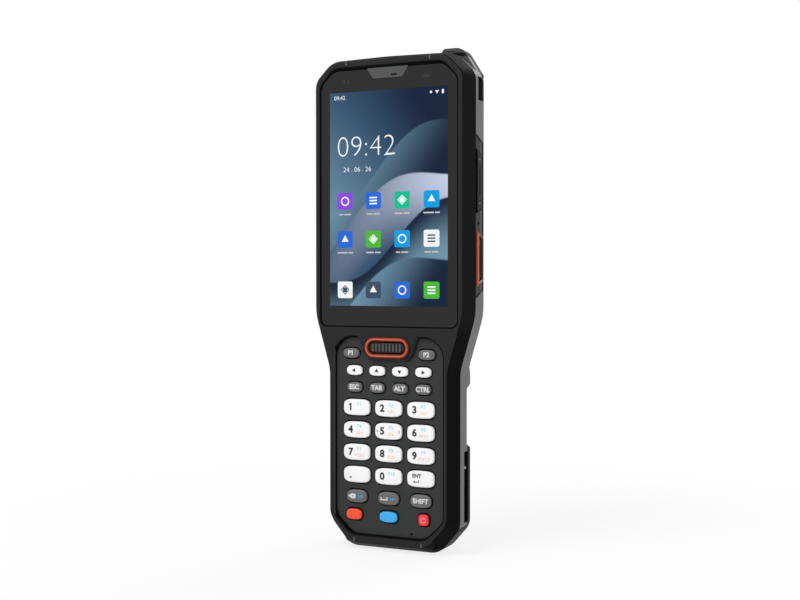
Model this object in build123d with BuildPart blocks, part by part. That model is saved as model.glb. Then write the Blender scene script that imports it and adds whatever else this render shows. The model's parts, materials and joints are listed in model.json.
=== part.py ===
from build123d import *
import os

# Rugged handheld barcode terminal with a four-inch display and a moulded keypad.
# Millimetres. +Z runs along the length to the scanning end, the display faces -Y and +X is
# to the right of somebody looking at the display. The origin is the middle of the foot end,
# half way through the thickness.

os.makedirs("parts", exist_ok=True)

# ---- depths, front to back ------------------------------------------------------------
half_depth = 14.0                          # the part is twice this thick
rim_y = -13.0                              # front of the bezel rim
glass_face_y = -12.4                       # outer face of the display glass
glass_back_y = -11.5                       # the glass lies on this ledge
panel_face_y = -11.0                       # floor of the keypad recess
key_top_y = -12.15
parting_y = -6.0                           # where the two housings meet
side_end_y = 2.8                           # straight side wall ends, the back starts to slope
grip_side_end_y = 4.85
screen_back_y = 11.0                       # flat back behind the display
deck_y = 1.1                               # floor of the battery bay and of the finger scoops

# ---- keypad rows, from the foot end up, and the middles of the digit columns -------------
digit_pitch_x, digit_pitch_z = 14.27, 9.2
recess_low_z = 6.2
recess_foot, shift_rise, digit_rise = 7.9, 7.5, 8.9
mode_rise, arrow_rise, program_rise, recess_head = 8.25, 6.9, 7.05, 6.5
recess_side = 9.73                         # recess floor beyond the middles of the columns
colour_z = recess_low_z + recess_foot
shift_z = colour_z + shift_rise
last_digit_z = shift_z + digit_rise
first_digit_z = last_digit_z + 3 * digit_pitch_z
mode_z = first_digit_z + mode_rise
arrow_z = mode_z + arrow_rise
program_z = arrow_z + program_rise
recess_top_z = program_z + recess_head
recess_half = digit_pitch_x + recess_side

# ---- display and its cover glass, which set the size of the upper body -----------------
display_half, display_length = 28.2, 94.7
display_depth = 2.4
display_gap = 0.2
bridge = 4.4                               # between the keypad recess and the glass
glass_side, glass_foot, glass_head = 2.2, 3.5, 6.4      # glass beyond the display
glass_leg = 5.8
glass_top_round = 6.0
glass_foot_round = 2.8
rim_slope, recess_slope = 0.5, 0.8         # from the rim down to the glass and to the recess
glass_bevel = 0.2
brow = 1.7                                 # the rim slopes this far down to the glass at its head
glass_low_z = recess_top_z + bridge
display_low_z = glass_low_z + glass_foot
display_top_z = display_low_z + display_length
display_mid_z = (display_low_z + display_top_z) / 2
glass_half, glass_top_z = display_half + glass_side, display_top_z + glass_head
back_panel_frame, back_panel_depth = 2.5, 0.4

# ---- outline at the parting line ------------------------------------------------------
rim_side_inset = 3.0                       # the rim lies this far inside the parting line
rim_side_width, rim_head_width, grip_rim_width = 2.1, 3.7, 2.0
rim_top_inset = 1.1
rim_foot_inset = 2.95
screen_half = glass_half + rim_side_width + rim_side_inset
grip_half = recess_half + grip_rim_width + rim_side_inset
body_top = glass_top_z + rim_head_width + rim_top_inset
crown = 0.5
top_corner_leg, corner_leg_share = 8.6, 0.3   # the leg shrinks by this share of the inset
top_corner_round = (9.0, 7.0)
neck_top_z, neck_low_z = display_low_z + 1.3, display_low_z - 21.1
neck_round = (24.0, 20.0)
foot_corner_leg = (9.0, 10.5)
foot_corner_round = (7.0, 8.0)
crown_round = 160.0
rim_round = 0.9
top_insert_half, foot_insert_half = 18.5, 15.0
insert_back_y, insert_margin = -8.0, 0.4
brow_margin = 0.1                          # between the brow and the trim insert above it
back_side_inset = 10.5
back_top_inset = 5.0

# ---- walls and clearances -------------------------------------------------------------
wall = 2.0
seat_gap = 0.1                             # loose fit between pieces of one assembly
seam_gap = 0.05                            # closed seam beside a trim insert
slide_gap = 0.3                            # around everything that moves
press_stop = 0.15                          # a released key lies this far from its stop
ledge = 0.9

# ---- earpiece at the head of the glass --------------------------------------------------
earpiece_half_wide, earpiece_half_narrow = 9.2, 6.5
earpiece_height, earpiece_proud = 4.3, 0.15
earpiece_slot = (2.7, 0.7)
earpiece_slot_x, earpiece_slot_drop = 2.85, 3.1
earpiece_low_z, earpiece_face_y = glass_top_z - earpiece_height, glass_face_y - earpiece_proud
earpiece_slot_z = glass_top_z - earpiece_slot_drop
receiver_drop = 2.4
receiver_z = glass_top_z - receiver_drop
receiver_size = (13.0, 2.0, 3.2)

# ---- keypad ---------------------------------------------------------------------------
recess_top_leg, recess_top_round = 5.0, 7.0
recess_foot_leg = (8.0, 7.5)
recess_foot_round = 6.5
tongue_top_half, tongue_low_half, tongue_end_half = 13.0, 11.0, 8.2
tongue_shoulder_z, tongue_end_z = recess_top_z - 6.4, recess_top_z - 9.5
tongue_round, tongue_ledge = 3.0, 0.3
panel_depth = 1.0
key_travel = 0.5
flange_margin, flange_depth = 0.5, 0.6
plunger_width, plunger_depth = 2.4, 0.7
dome_radius, dome_height, dome_slope = 1.9, 0.3, 50
board_depth = 1.0
key_crown = 0.55

digit_key = (12.2, 6.9, 2.7)               # width, height, corner radius
arrow_key = (7.3, 4.35, 2.1)
mode_key = (7.0, 4.35, 2.1)
program_key = (7.6, 4.35, 2.1)
shift_key = (9.5, 5.6, 2.6)
orange_key = (7.5, 4.9, 2.2)
blue_key = (8.4, 4.9, 2.2)
power_key = (5.0, 5.0, 1.5)
arrow_pitch_x = 10.2
program_x = 16.8
colour_x = 15.5

# ---- scan key in the tongue -----------------------------------------------------------
scan_z = recess_top_z - 4.0
ring_length, ring_height = 20.0, 8.6
ring_band = 1.9
ring_bevel = 0.6
insert_length = ring_length - 2 * ring_band - 2 * slide_gap
insert_height = ring_height - 2 * ring_band - 2 * slide_gap
insert_face_y = -13.3
insert_rib_count, insert_rib_pitch = 9, 1.5
insert_rib_width, insert_rib_length, insert_rib_height = 0.75, 3.0, 0.5

# ---- keys on the sides ----------------------------------------------------------------
side_y = -1.9                              # middle of the side keys
scoop_low_z, scoop_length = display_low_z + 7.7, 66.0
scoop_top_z = scoop_low_z + scoop_length
scoop_half_height, scoop_depth, scoop_slant = 4.1, 0.4, 3.4
key_well_depth = 1.2                       # the rings and the volume key lie in deeper wells
side_scan_z, side_scan_length, side_scan_height = scoop_low_z + 16.1, 22.6, 7.6
side_ring_band, side_ring_proud = 1.1, 0.5
side_ring_front, side_ring_chamfer = 2.7, 0.45   # its front bar is the widest
side_key_leg = 2.3
volume_z, volume_length, volume_height = scoop_low_z + 47.1, 26.0, 6.6
volume_front_cut = 1.4                     # the well runs on in front of the volume key
side_travel = 0.5
side_key_sunk = 0.1                        # its face lies this far inside the side wall
side_flange_depth = 0.6
side_plunger = (1.2, 0.4)                  # radius and length
side_backing = 1.2                         # extra wall behind the scoop
volume_flange_half = 3.5
volume_plunger_z = 9.0
rocker_radius = 0.6                        # round ridge that the volume key rocks on
side_margin, side_key_chamfer = 0.6, 0.3
side_groove = (10.8, 0.8, 0.35)            # length, height and depth of the finger groove
side_switch = (3.2, 4.0)                   # height along Y and width along Z
switch_gap = 0.15

# ---- back of the grip: battery and its latches ----------------------------------------
grip_back_side_inset = 8.5
battery_wall = 6.5                         # the grip's wall beside the battery
battery_half = grip_half - battery_wall
battery_low_z, battery_length = 13.0, 74.0
battery_top_z = battery_low_z + battery_length
hump_shoulder_half, hump_shoulder_round = grip_half - 4.4, 3.0
hump_shoulder_z, hump_top_inset = battery_top_z + 5.0, 3.0
notch_low_z, notch_length = battery_low_z + 29.0, 26.0
notch_top_z = notch_low_z + notch_length
notch_slope, notch_flare = 1.8, 4.5
latch_length, latch_width, latch_height = 10.8, 3.4, 2.2
latch_x, latch_z = grip_half - 3.0, notch_low_z + 11.2
latch_travel = 1.2
latch_stem = (1.6, 5.0)
latch_foot, latch_foot_shift, latch_foot_depth = (3.0, 7.0), 1.0, 0.7
latch_rib_count, latch_rib_pitch, latch_rib_width, latch_rib_depth = 4, 2.0, 0.8, 0.4
latch_chamfer = 0.3
battery_round = 1.2
terminal_z, terminal_count, terminal_pitch = battery_top_z - 7.0, 4, 3.2
terminal_size, terminal_half, terminal_relief = (1.6, 1.0, 3.0), 7.5, 0.6
battery_lift = 20.0

reset_z, reset_radius = volume_z - 16.8, 0.6                  # pinhole under the volume key

# ---- strap slots ----------------------------------------------------------------------
upper_slot = (body_top - 19.0, body_top - 9.6, -3.4, 1.6)    # low and high Z, front, back Y
grip_slot_low_z, grip_slot_length = 12.2, 28.8
grip_slot = (grip_slot_low_z, grip_slot_low_z + grip_slot_length, -1.7, 2.1)
slot_depth = 3.2
strap_pin_radius, strap_pin_inset, strap_pin_z = 0.7, 1.1, grip_slot_low_z + 22.0

# ---- scanning end ---------------------------------------------------------------------
bumper_depths = ((-2.6, 1.2), (-1.2, 0.0), (5.6, 0.0), (9.6, 3.0))    # Y and inset there
bumper_rise = 2.8
bumper_height = body_top + bumper_rise
bumper_inner_x, bumper_flat_x = screen_half - 16.9, screen_half - 7.7
bumper_left_drop = 1.5
bumper_slant, bumper_side_inset, bumper_round = 1.0, 0.6, 5.0
window_half, window_y, window_depth = 12.0, (-4.4, 2.4), 1.2
window_recess = 0.5
window_ledge = 1.0
engine_size = (20.0, 8.4, 13.0)
engine_rest_x, engine_rest_width = 6.0, 1.6
camera_mid_x, camera_recess = -3.5, 0.4
scan_hump_inset, scan_hump_round = 4.0, 5.0
scan_hump_half, scan_hump_length = 24.0, 36.0
scan_hump_top_z = body_top - 6.6
scan_hump_low_z = scan_hump_top_z - scan_hump_length
camera_z, camera_x = scan_hump_top_z - 16.0, -8.0
camera_window_size = (20.0, 9.0, 1.0)
camera_window_round = 4.4
camera_radius, camera_length = 3.4, 3.4
engine_eye_x, engine_eye_radius, engine_eye_depth = (-5.5, 0.5, 6.0), 1.9, 1.0
flash_x = 1.6

# ---- sound, sockets and contacts ------------------------------------------------------
speaker_z, speaker_slots, speaker_pitch = display_low_z + 9.3, 5, 2.2
speaker_slot = (14.0, 1.0)
speaker_size = (17.0, 4.0, 12.0)
usb_shell, usb_length, usb_skin = (9.0, 3.2), 7.4, 0.3
usb_tongue = (6.6, 0.7)
usb_block_half, usb_block_z = 7.0, 3.2     # thicker foot wall round the socket
usb_low_z = 2.0
cover_gap = 0.25
contact_low_z = 0.4
cover_length, cover_width, cover_depth = 16.0, 4.8, 1.4
cover_lift = 0.2                           # the cover stays this far above the foot end
cover_swing_gap = 0.6                      # beyond its hinged end, so that it can swing down
cover_pin_radius, cover_pin_length, pin_fit = 0.4, 0.8, 0.04
contact_x, contact_pitch, contact_radius, contact_length = 13.2, 2.6, 0.8, 2.6
mic_x, mic_z, mic_radius = 10.0, 7.8, 0.5

# ---- boards and screws ----------------------------------------------------------------
main_board_y, main_board_depth = -4.5, 1.0
main_board_half = screen_half - 7.1
main_board_low_z, main_board_top_z = display_low_z + 6.8, body_top - 20.1
switch_block_length = 4.0
board_tail_half, board_tail_low_z = 14.0, 3.6
shield_size, shield_pitch = (30.0, 1.8, 26.0), 34.0
shield_z = display_mid_z + 0.95            # half way between the two shields
board_posts = ((11.0, 20.0), (11.0, recess_top_z - 8.8),
               (main_board_half - 3.0, main_board_top_z - 12.5))
post_radius = 1.5
keypad_board_half, keypad_board_leg = grip_half - 3.6, 4.0
keypad_board_low_z, keypad_board_top_z = recess_low_z + 3.8, recess_top_z - 1.8
keypad_post_x, keypad_post_radius = keypad_board_half - 1.2, 1.0
keypad_posts = [(keypad_post_x, keypad_board_low_z + rise) for rise in (8.0, 38.0)]
keypad_posts.append((keypad_post_x, keypad_board_top_z - 9.0))
screw_x = screen_half - 4.1
screw_places = ((screw_x, display_top_z - 14.4), (screw_x, display_low_z + 3.8),
                (grip_half - 10.4, 4.4))
boss_radius, screw_radius, screw_head_radius = 2.4, 0.9, 1.7
screw_head_depth = 1.2
screw_head_y = 1.2
screw_tip_y = -9.6
seal_inset, seal_width, seal_depth = key_well_depth + 0.2, 0.5, 0.4

# ---- values that follow ---------------------------------------------------------------
panel_back_y = panel_face_y + panel_depth
ledge_back_y = panel_back_y + ledge
flange_front_y = panel_back_y + press_stop
flange_back_y = flange_front_y + flange_depth
plunger_end_y = flange_back_y + plunger_depth
dome_top_y = plunger_end_y + key_travel + seat_gap
board_front_y = dome_top_y + dome_height
rim_screen_half = screen_half - rim_side_inset
lower_ceiling_y = deck_y - wall
back_wall_inner_y = screen_back_y - wall
engine_z = body_top - wall - seat_gap - engine_size[2] / 2
engine_back_y = sum(window_y) / 2 + engine_size[1] / 2
board_back_y = main_board_y + main_board_depth
scoop_floor = screen_half - scoop_depth
well_floor = screen_half - key_well_depth
ring_front_cut = side_ring_front - side_ring_band
well_front_cut = parting_y - (side_y - volume_height / 2 - slide_gap)
side_inner = screen_half - wall - side_backing
usb_y = board_back_y + usb_shell[1] / 2
flange_x = side_inner - press_stop
key_end_x = flange_x - side_flange_depth - side_plunger[1]
cover_pin_x = -cover_length / 2 + cover_depth / 2
cover_pin_z = cover_lift + cover_depth / 2
end_z = body_top + crown
bay_top_z = battery_top_z + slide_gap + wall


def front_plane(y):
    """The plane at depth y whose sketches are drawn as seen from the display side."""
    return Plane.XZ.offset(-y)


def chain_outline(plane, right_side, radii, top_middle=None, top_radius=0):
    """A closed face, mirrored about X = 0, from the corners of its right side."""
    left_side = [(-x, z) for x, z in reversed(right_side)]
    corners = list(right_side) + left_side
    rounds = list(radii) + list(reversed(radii))
    if top_middle is not None:
        corners.append(top_middle)
        rounds.append(top_radius)
    with BuildSketch(plane) as face:
        with BuildLine():
            FilletPolyline(*corners, radius=rounds, close=True)
        make_face()
    return face.sketch


def body_outline(y, side=0.0, top=0.0, foot=0.0):
    """The outline of the whole body at depth y, drawn in from the parting line."""
    wide, narrow = screen_half - side, grip_half - side
    high, low = body_top - top, foot
    leg = top_corner_leg - corner_leg_share * side
    right_side = [
        (wide - leg, high), (wide, high - leg),
        (wide, neck_top_z), (narrow, neck_low_z),
        (narrow, low + foot_corner_leg[1]), (narrow - foot_corner_leg[0], low),
    ]
    radii = [*top_corner_round, *neck_round, *foot_corner_round]
    return chain_outline(front_plane(y), right_side, radii, (0, high + crown), crown_round)


def hump_outline(y, side=0.0, top=0.0, foot=0.0):
    """The outline of the battery hump behind the grip at depth y."""
    right_side = [
        (hump_shoulder_half - side, hump_shoulder_z - top),
        (grip_half - side, neck_low_z - top),
        (grip_half - side, foot + foot_corner_leg[1]),
        (grip_half - side - foot_corner_leg[0], foot),
    ]
    radii = [hump_shoulder_round, neck_round[1], *foot_corner_round]
    return chain_outline(front_plane(y), right_side, radii)


def scan_hump_outline(y, inset=0.0):
    half, low, high = scan_hump_half - inset, scan_hump_low_z + inset, scan_hump_top_z - inset
    right_side = [(half, high), (half, low)]
    return chain_outline(front_plane(y), right_side, [scan_hump_round] * 2)


def bumper_outline(y, side, height, inset):
    """The corner bumper at depth y, drawn in by inset at its top and its side."""
    wide, low = screen_half - bumper_side_inset - inset, body_top - top_corner_leg
    foot = (side * (wide - wall), low - wall)
    root = (side * bumper_inner_x, body_top - wall)
    with BuildSketch(front_plane(y)) as face:
        with BuildLine():
            FilletPolyline(
                root, (side * (bumper_inner_x + bumper_slant), height - inset),
                (side * bumper_flat_x, height - inset), (side * wide, low), foot,
                radius=[0.8, bumper_round, 1.5], close=False)
            Line(foot, root)
        make_face()
    return face.sketch


def side_key_outline(z, length, height, inset=0.0, front_cut=0.0):
    """A long side key's face with slanted ends, in the wall's own plane.

    It is drawn in by inset all round, and its front by front_cut more.
    """
    front, back = side_y - height / 2 + inset, side_y + height / 2 - inset
    low, high = z - length / 2 + inset, z + length / 2 - inset
    rise = side_key_leg * front_cut / (back - front)
    with BuildSketch() as face:
        with BuildLine():
            FilletPolyline(
                (front + front_cut, low + rise), (back, low + side_key_leg),
                (back, high - side_key_leg), (front + front_cut, high - rise),
                radius=0.7, close=True)
        make_face()
    return face.sketch


def glass_outline(y, gap=0.0, rise=0.0):
    """The cover glass at depth y, drawn in by gap, with its head raised."""
    half, low, high = glass_half - gap, glass_low_z + gap, glass_top_z - gap
    right_side = [(half - glass_leg, high + rise), (half, high - glass_leg), (half, low)]
    radii = [glass_top_round, glass_top_round, glass_foot_round]
    return chain_outline(front_plane(y), right_side, radii)


def recess_outline(y, gap=0.0, tongue_gap=0.0):
    """The keypad recess, with the tongue that carries the scan key left standing."""
    half, low, high = recess_half - gap, recess_low_z + gap, recess_top_z - gap
    right_side = [
        (tongue_end_half + tongue_gap, tongue_end_z - tongue_gap),
        (tongue_low_half + tongue_gap, tongue_shoulder_z - tongue_gap),
        (tongue_top_half + tongue_gap, high),
        (half - recess_top_leg, high), (half, high - recess_top_leg),
        (half, low + recess_foot_leg[1]), (half - recess_foot_leg[0], low),
    ]
    radii = [tongue_round, tongue_round, 0.4, recess_top_round, recess_top_round,
             recess_foot_round, recess_foot_round]
    return chain_outline(front_plane(y), right_side, radii)


def earpiece_outline(y, gap=0.0):
    right_side = [
        (earpiece_half_wide - gap, glass_top_z - gap),
        (earpiece_half_narrow - gap, earpiece_low_z + gap),
    ]
    return chain_outline(front_plane(y), right_side, [0.3, 1.0])


def pocket(low, high, shrink=0.0):
    """A plain block from corner to corner, drawn in by shrink, kept out of any context."""
    size = [b - a - 2 * shrink for a, b in zip(low, high)]
    middle = [(a + b) / 2 for a, b in zip(low, high)]
    return Pos(*middle) * Box(*size, mode=Mode.PRIVATE)


def save(piece, name):
    piece.label = name
    export_step(piece, f"parts/{name}.step")


# ---- the keys of the keypad: name, x, z, (width, height, corner) ----------------------
keypad = [
    ("key_p1", -program_x, program_z, program_key),
    ("key_p2", program_x, program_z, program_key),
]
for place, direction in enumerate(("left", "up", "down", "right")):
    keypad.append((f"key_{direction}", (place - 1.5) * arrow_pitch_x, arrow_z, arrow_key))
for place, mode in enumerate(("esc", "tab", "alt", "ctrl")):
    keypad.append((f"key_{mode}", (place - 1.5) * arrow_pitch_x, mode_z, mode_key))
for place, digit in enumerate("123456789"):
    column, row = place % 3 - 1, place // 3
    keypad.append(
        (f"key_{digit}", column * digit_pitch_x, first_digit_z - row * digit_pitch_z, digit_key))
for column, name in zip((-1, 0, 1), ("dot", "0", "enter")):
    keypad.append((f"key_{name}", column * digit_pitch_x, last_digit_z, digit_key))
for column, name in zip((-1, 0, 1), ("backspace", "space", "shift")):
    keypad.append((f"key_{name}", column * digit_pitch_x, shift_z, shift_key))
keypad += [
    ("key_orange", -colour_x, colour_z, orange_key),
    ("key_blue", 0.0, colour_z, blue_key),
    ("key_power", colour_x, colour_z, power_key),
]


# ---- front housing: slanted rim, display window, keypad recess, tongue -----------------
rim_face = body_outline(rim_y, rim_side_inset, rim_top_inset, rim_foot_inset)
parting_face = body_outline(parting_y)
with BuildPart() as front_shell:
    loft([rim_face, parting_face], ruled=True)
    fillet(front_shell.faces().sort_by(Axis.Y)[0].outer_wire().edges(), rim_round)

glass_pocket = glass_outline(glass_back_y)
panel_pocket = recess_outline(panel_back_y)
ledge_window = recess_outline(ledge_back_y, ledge, tongue_ledge)
front_cavity = body_outline(parting_y, wall, wall, wall)
display_window = pocket(
    (-display_half - display_gap, glass_back_y, display_low_z - display_gap),
    (display_half + display_gap, parting_y, display_top_z + display_gap))
receiver_window = pocket(
    (-receiver_size[0] / 2 - seat_gap, glass_back_y, receiver_z - receiver_size[2] / 2 - seat_gap),
    (receiver_size[0] / 2 + seat_gap, ledge_back_y, receiver_z + receiver_size[2] / 2 + seat_gap))
top_insert_space = (
    (-top_insert_half, rim_y - 1, glass_top_z + brow + brow_margin),
    (top_insert_half, insert_back_y, end_z + 1))
foot_insert_space = (
    (-foot_insert_half, rim_y - 1, -1),
    (foot_insert_half, insert_back_y, recess_low_z - insert_margin - recess_slope))
with BuildPart() as brow_slope:
    loft([glass_outline(rim_y, seam_gap, brow), glass_outline(glass_face_y, seam_gap, seam_gap)],
         ruled=True)
with BuildPart() as front_housing:
    add(front_shell.part)
    extrude(front_cavity, amount=parting_y - ledge_back_y, mode=Mode.SUBTRACT)
    extrude(glass_pocket, amount=glass_back_y - rim_y, mode=Mode.SUBTRACT)
    extrude(panel_pocket, amount=panel_back_y - rim_y, mode=Mode.SUBTRACT)
    for place, slope in ((0, recess_slope), (-1, rim_slope)):
        rim_openings = front_housing.faces().sort_by(Axis.Y)[0].inner_wires().sort_by(Axis.Z)
        chamfer(rim_openings[place].edges(), slope)
    add(brow_slope.part, mode=Mode.SUBTRACT)
    extrude(ledge_window, amount=ledge, mode=Mode.SUBTRACT)
    add(display_window, mode=Mode.SUBTRACT)
    add(receiver_window, mode=Mode.SUBTRACT)
    add(pocket(*top_insert_space), mode=Mode.SUBTRACT)
    add(pocket(*foot_insert_space), mode=Mode.SUBTRACT)
    with BuildSketch(front_plane(ledge_back_y)):
        with Locations((0, scan_z)):
            SlotOverall(insert_length + 2 * slide_gap, insert_height + 2 * slide_gap)
    extrude(amount=ledge_back_y - rim_y, mode=Mode.SUBTRACT)
    with BuildSketch(front_plane(board_front_y)):
        for x, z in keypad_posts:
            with Locations((x, z), (-x, z)):
                Circle(keypad_post_radius)
    extrude(amount=board_front_y - ledge_back_y)
    with BuildSketch(front_plane(parting_y)):
        for x, z in screw_places:
            with Locations((x, z), (-x, z)):
                Circle(boss_radius)
    extrude(amount=parting_y - ledge_back_y)
    with BuildSketch(front_plane(parting_y)):
        for x, z in screw_places:
            with Locations((x, z), (-x, z)):
                Circle(screw_radius + pin_fit)
    extrude(amount=parting_y - screw_tip_y, mode=Mode.SUBTRACT)
save(front_housing.part, "front_housing")

with BuildPart() as top_rim_insert:
    add(front_shell.part)
    add(pocket(*top_insert_space, seam_gap), mode=Mode.INTERSECT)
save(top_rim_insert.part, "top_rim_insert")

with BuildPart() as foot_rim_insert:
    add(front_shell.part)
    add(pocket(*foot_insert_space, seam_gap), mode=Mode.INTERSECT)
save(foot_rim_insert.part, "foot_rim_insert")

# ---- display: cover glass, module, earpiece -------------------------------------------
with BuildPart() as display_glass:
    extrude(glass_outline(glass_back_y, seat_gap), amount=glass_back_y - glass_face_y)
    chamfer(display_glass.faces().sort_by(Axis.Y)[0].outer_wire().edges(), glass_bevel)
    extrude(earpiece_outline(glass_back_y, -seat_gap), amount=glass_back_y - glass_face_y,
            mode=Mode.SUBTRACT)
save(display_glass.part, "display_glass")

with BuildPart() as display_module:
    with BuildSketch(front_plane(glass_back_y + display_depth)):
        with Locations((0, display_mid_z)):
            RectangleRounded(2 * display_half, display_length, 1.0)
    extrude(amount=display_depth)
    with BuildSketch(front_plane(glass_back_y + display_depth)):
        with Locations((0, display_mid_z)):
            Rectangle(2 * (display_half - back_panel_frame), display_length - 2 * back_panel_frame)
    extrude(amount=back_panel_depth, mode=Mode.SUBTRACT)
save(display_module.part, "display_module")

with BuildPart() as earpiece_grille:
    extrude(earpiece_outline(glass_back_y), amount=glass_back_y - earpiece_face_y)
    with BuildSketch(front_plane(glass_back_y)):
        with Locations((earpiece_slot_x, earpiece_slot_z)):
            SlotOverall(*earpiece_slot)
    extrude(amount=glass_back_y - earpiece_face_y, mode=Mode.SUBTRACT)
save(earpiece_grille.part, "earpiece_grille")

with BuildPart() as earpiece_receiver:
    with BuildSketch(front_plane(glass_back_y + receiver_size[1])):
        with Locations((0, receiver_z)):
            RectangleRounded(receiver_size[0], receiver_size[2], 0.8)
    extrude(amount=receiver_size[1])
save(earpiece_receiver.part, "earpiece_receiver")

# ---- keypad: textured panel, keys, domes, board ---------------------------------------
with BuildPart() as keypad_panel:
    extrude(recess_outline(panel_back_y, seat_gap, seat_gap), amount=panel_depth)
    with BuildSketch(front_plane(panel_back_y)):
        for name, x, z, (width, height, corner) in keypad:
            with Locations((x, z)):
                RectangleRounded(width + 2 * slide_gap, height + 2 * slide_gap, corner + slide_gap)
        with Locations((mic_x, mic_z)):
            Circle(mic_radius)
    extrude(amount=panel_depth, mode=Mode.SUBTRACT)
save(keypad_panel.part, "keypad_panel")

for name, x, z, (width, height, corner) in keypad:
    with BuildPart() as key:
        with BuildSketch(front_plane(flange_front_y)):
            with Locations((x, z)):
                RectangleRounded(width, height, corner)
        extrude(amount=flange_front_y - key_top_y)
        chamfer(key.faces().sort_by(Axis.Y)[0].outer_wire().edges(), key_crown)
        with BuildSketch(front_plane(flange_back_y)):
            with Locations((x, z)):
                Rectangle(width + 2 * flange_margin, height + 2 * flange_margin - corner)
                Rectangle(width + 2 * flange_margin - corner, height + 2 * flange_margin)
        extrude(amount=flange_depth)
        with BuildSketch(front_plane(plunger_end_y)):
            with Locations((x, z)):
                Rectangle(plunger_width, plunger_width)
        extrude(amount=plunger_depth)
    save(key.part, name)

with BuildPart() as scan_key:
    with BuildSketch(front_plane(plunger_end_y)):
        with Locations((0, scan_z)):
            SlotOverall(insert_length + 2 * flange_margin, insert_height + 2 * flange_margin)
    extrude(amount=plunger_end_y - ledge_back_y - press_stop)
    with BuildSketch(front_plane(ledge_back_y + press_stop)):
        with Locations((0, scan_z)):
            SlotOverall(insert_length, insert_height)
    extrude(amount=ledge_back_y + press_stop - insert_face_y)
    chamfer(scan_key.faces().sort_by(Axis.Y)[0].outer_wire().edges(), side_key_chamfer)
    with BuildSketch(front_plane(insert_face_y)):
        with Locations((0, scan_z)):
            with GridLocations(insert_rib_pitch, 0, insert_rib_count, 1):
                Rectangle(insert_rib_width, insert_rib_length)
    extrude(amount=insert_rib_height)
save(scan_key.part, "scan_key")

with BuildPart() as scan_key_ring:
    with BuildSketch(front_plane(rim_y)):
        with Locations((0, scan_z)):
            SlotOverall(ring_length, ring_height)
            SlotOverall(ring_length - 2 * ring_band, ring_height - 2 * ring_band, mode=Mode.SUBTRACT)
    extrude(amount=rim_y + half_depth)
    chamfer(scan_key_ring.faces().sort_by(Axis.Y)[0].edges(), ring_bevel)
save(scan_key_ring.part, "scan_key_ring")

with BuildPart() as key_domes:
    with BuildSketch(front_plane(board_front_y)):
        with Locations(*[(x, z) for name, x, z, size in keypad], (0, scan_z)):
            RegularPolygon(dome_radius, 8, rotation=22.5)
    extrude(amount=dome_height, taper=dome_slope)
save(key_domes.part, "key_domes")

with BuildPart() as keypad_board:
    with BuildSketch(front_plane(board_front_y + board_depth)):
        with Locations((0, (keypad_board_low_z + keypad_board_top_z) / 2)):
            Rectangle(2 * keypad_board_half, keypad_board_top_z - keypad_board_low_z)
    extrude(amount=board_depth)
    foot_corners = keypad_board.edges().filter_by(Axis.Y).group_by(Axis.Z)[0]
    chamfer(foot_corners, keypad_board_leg)
save(keypad_board.part, "keypad_board")

# ---- rear housing: outer form, cavities, battery bay, scoops, slots, bosses ------------
with BuildPart() as rear_form:
    extrude(body_outline(side_end_y), amount=side_end_y - parting_y)
    loft([body_outline(side_end_y),
          body_outline(screen_back_y, back_side_inset, back_top_inset)], ruled=True)
    extrude(hump_outline(grip_side_end_y), amount=grip_side_end_y - parting_y)
    loft([hump_outline(grip_side_end_y),
          hump_outline(half_depth, grip_back_side_inset, hump_top_inset)], ruled=True)
    loft([scan_hump_outline(back_wall_inner_y),
          scan_hump_outline(half_depth, scan_hump_inset)], ruled=True)
    for side, height in ((1, bumper_height), (-1, bumper_height - bumper_left_drop)):
        loft([bumper_outline(y, side, height, inset) for y, inset in bumper_depths], ruled=True)

# A flat seal lies in a groove of its own size round the parting line.
seal_inner = seal_inset + seal_width
with BuildPart() as housing_seal:
    extrude(body_outline(parting_y + seal_depth, seal_inset, seal_inset, seal_inset),
            amount=seal_depth)
    extrude(body_outline(parting_y + seal_depth, seal_inner, seal_inner, seal_inner),
            amount=seal_depth, mode=Mode.SUBTRACT)
save(housing_seal.part, "housing_seal")

# The room for the boards: shallow behind the keypad, deep behind the display.
with BuildPart() as rear_hollow:
    extrude(body_outline(side_end_y, wall, wall, wall), amount=side_end_y - parting_y)
    loft([body_outline(side_end_y, wall, wall, wall),
          body_outline(back_wall_inner_y, wall + back_side_inset, wall + back_top_inset, wall)],
         ruled=True)
    add(pocket((-screen_half, lower_ceiling_y, 0), (screen_half, half_depth, bay_top_z)),
        mode=Mode.SUBTRACT)
    for side in (-1, 1):
        inner, outer = sorted((side * side_inner, side * screen_half))
        add(pocket((inner, parting_y, scoop_low_z - wall),
                   (outer, side_y + scoop_half_height + wall, scoop_top_z + wall)),
            mode=Mode.SUBTRACT)
        inner, outer = sorted((side * (screen_half - slot_depth - wall), side * screen_half))
        low, high, front, back = upper_slot
        add(pocket((inner, front - wall, low - wall), (outer, back + wall, high + wall)),
            mode=Mode.SUBTRACT)
        inner, outer = sorted((side * (grip_half - slot_depth - wall), side * grip_half))
        low, high, front, back = grip_slot
        add(pocket((inner, front - wall, 0), (outer, back, high + wall)), mode=Mode.SUBTRACT)
    add(pocket((-usb_block_half, parting_y, 0), (usb_block_half, lower_ceiling_y, usb_block_z)),
        mode=Mode.SUBTRACT)

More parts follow.
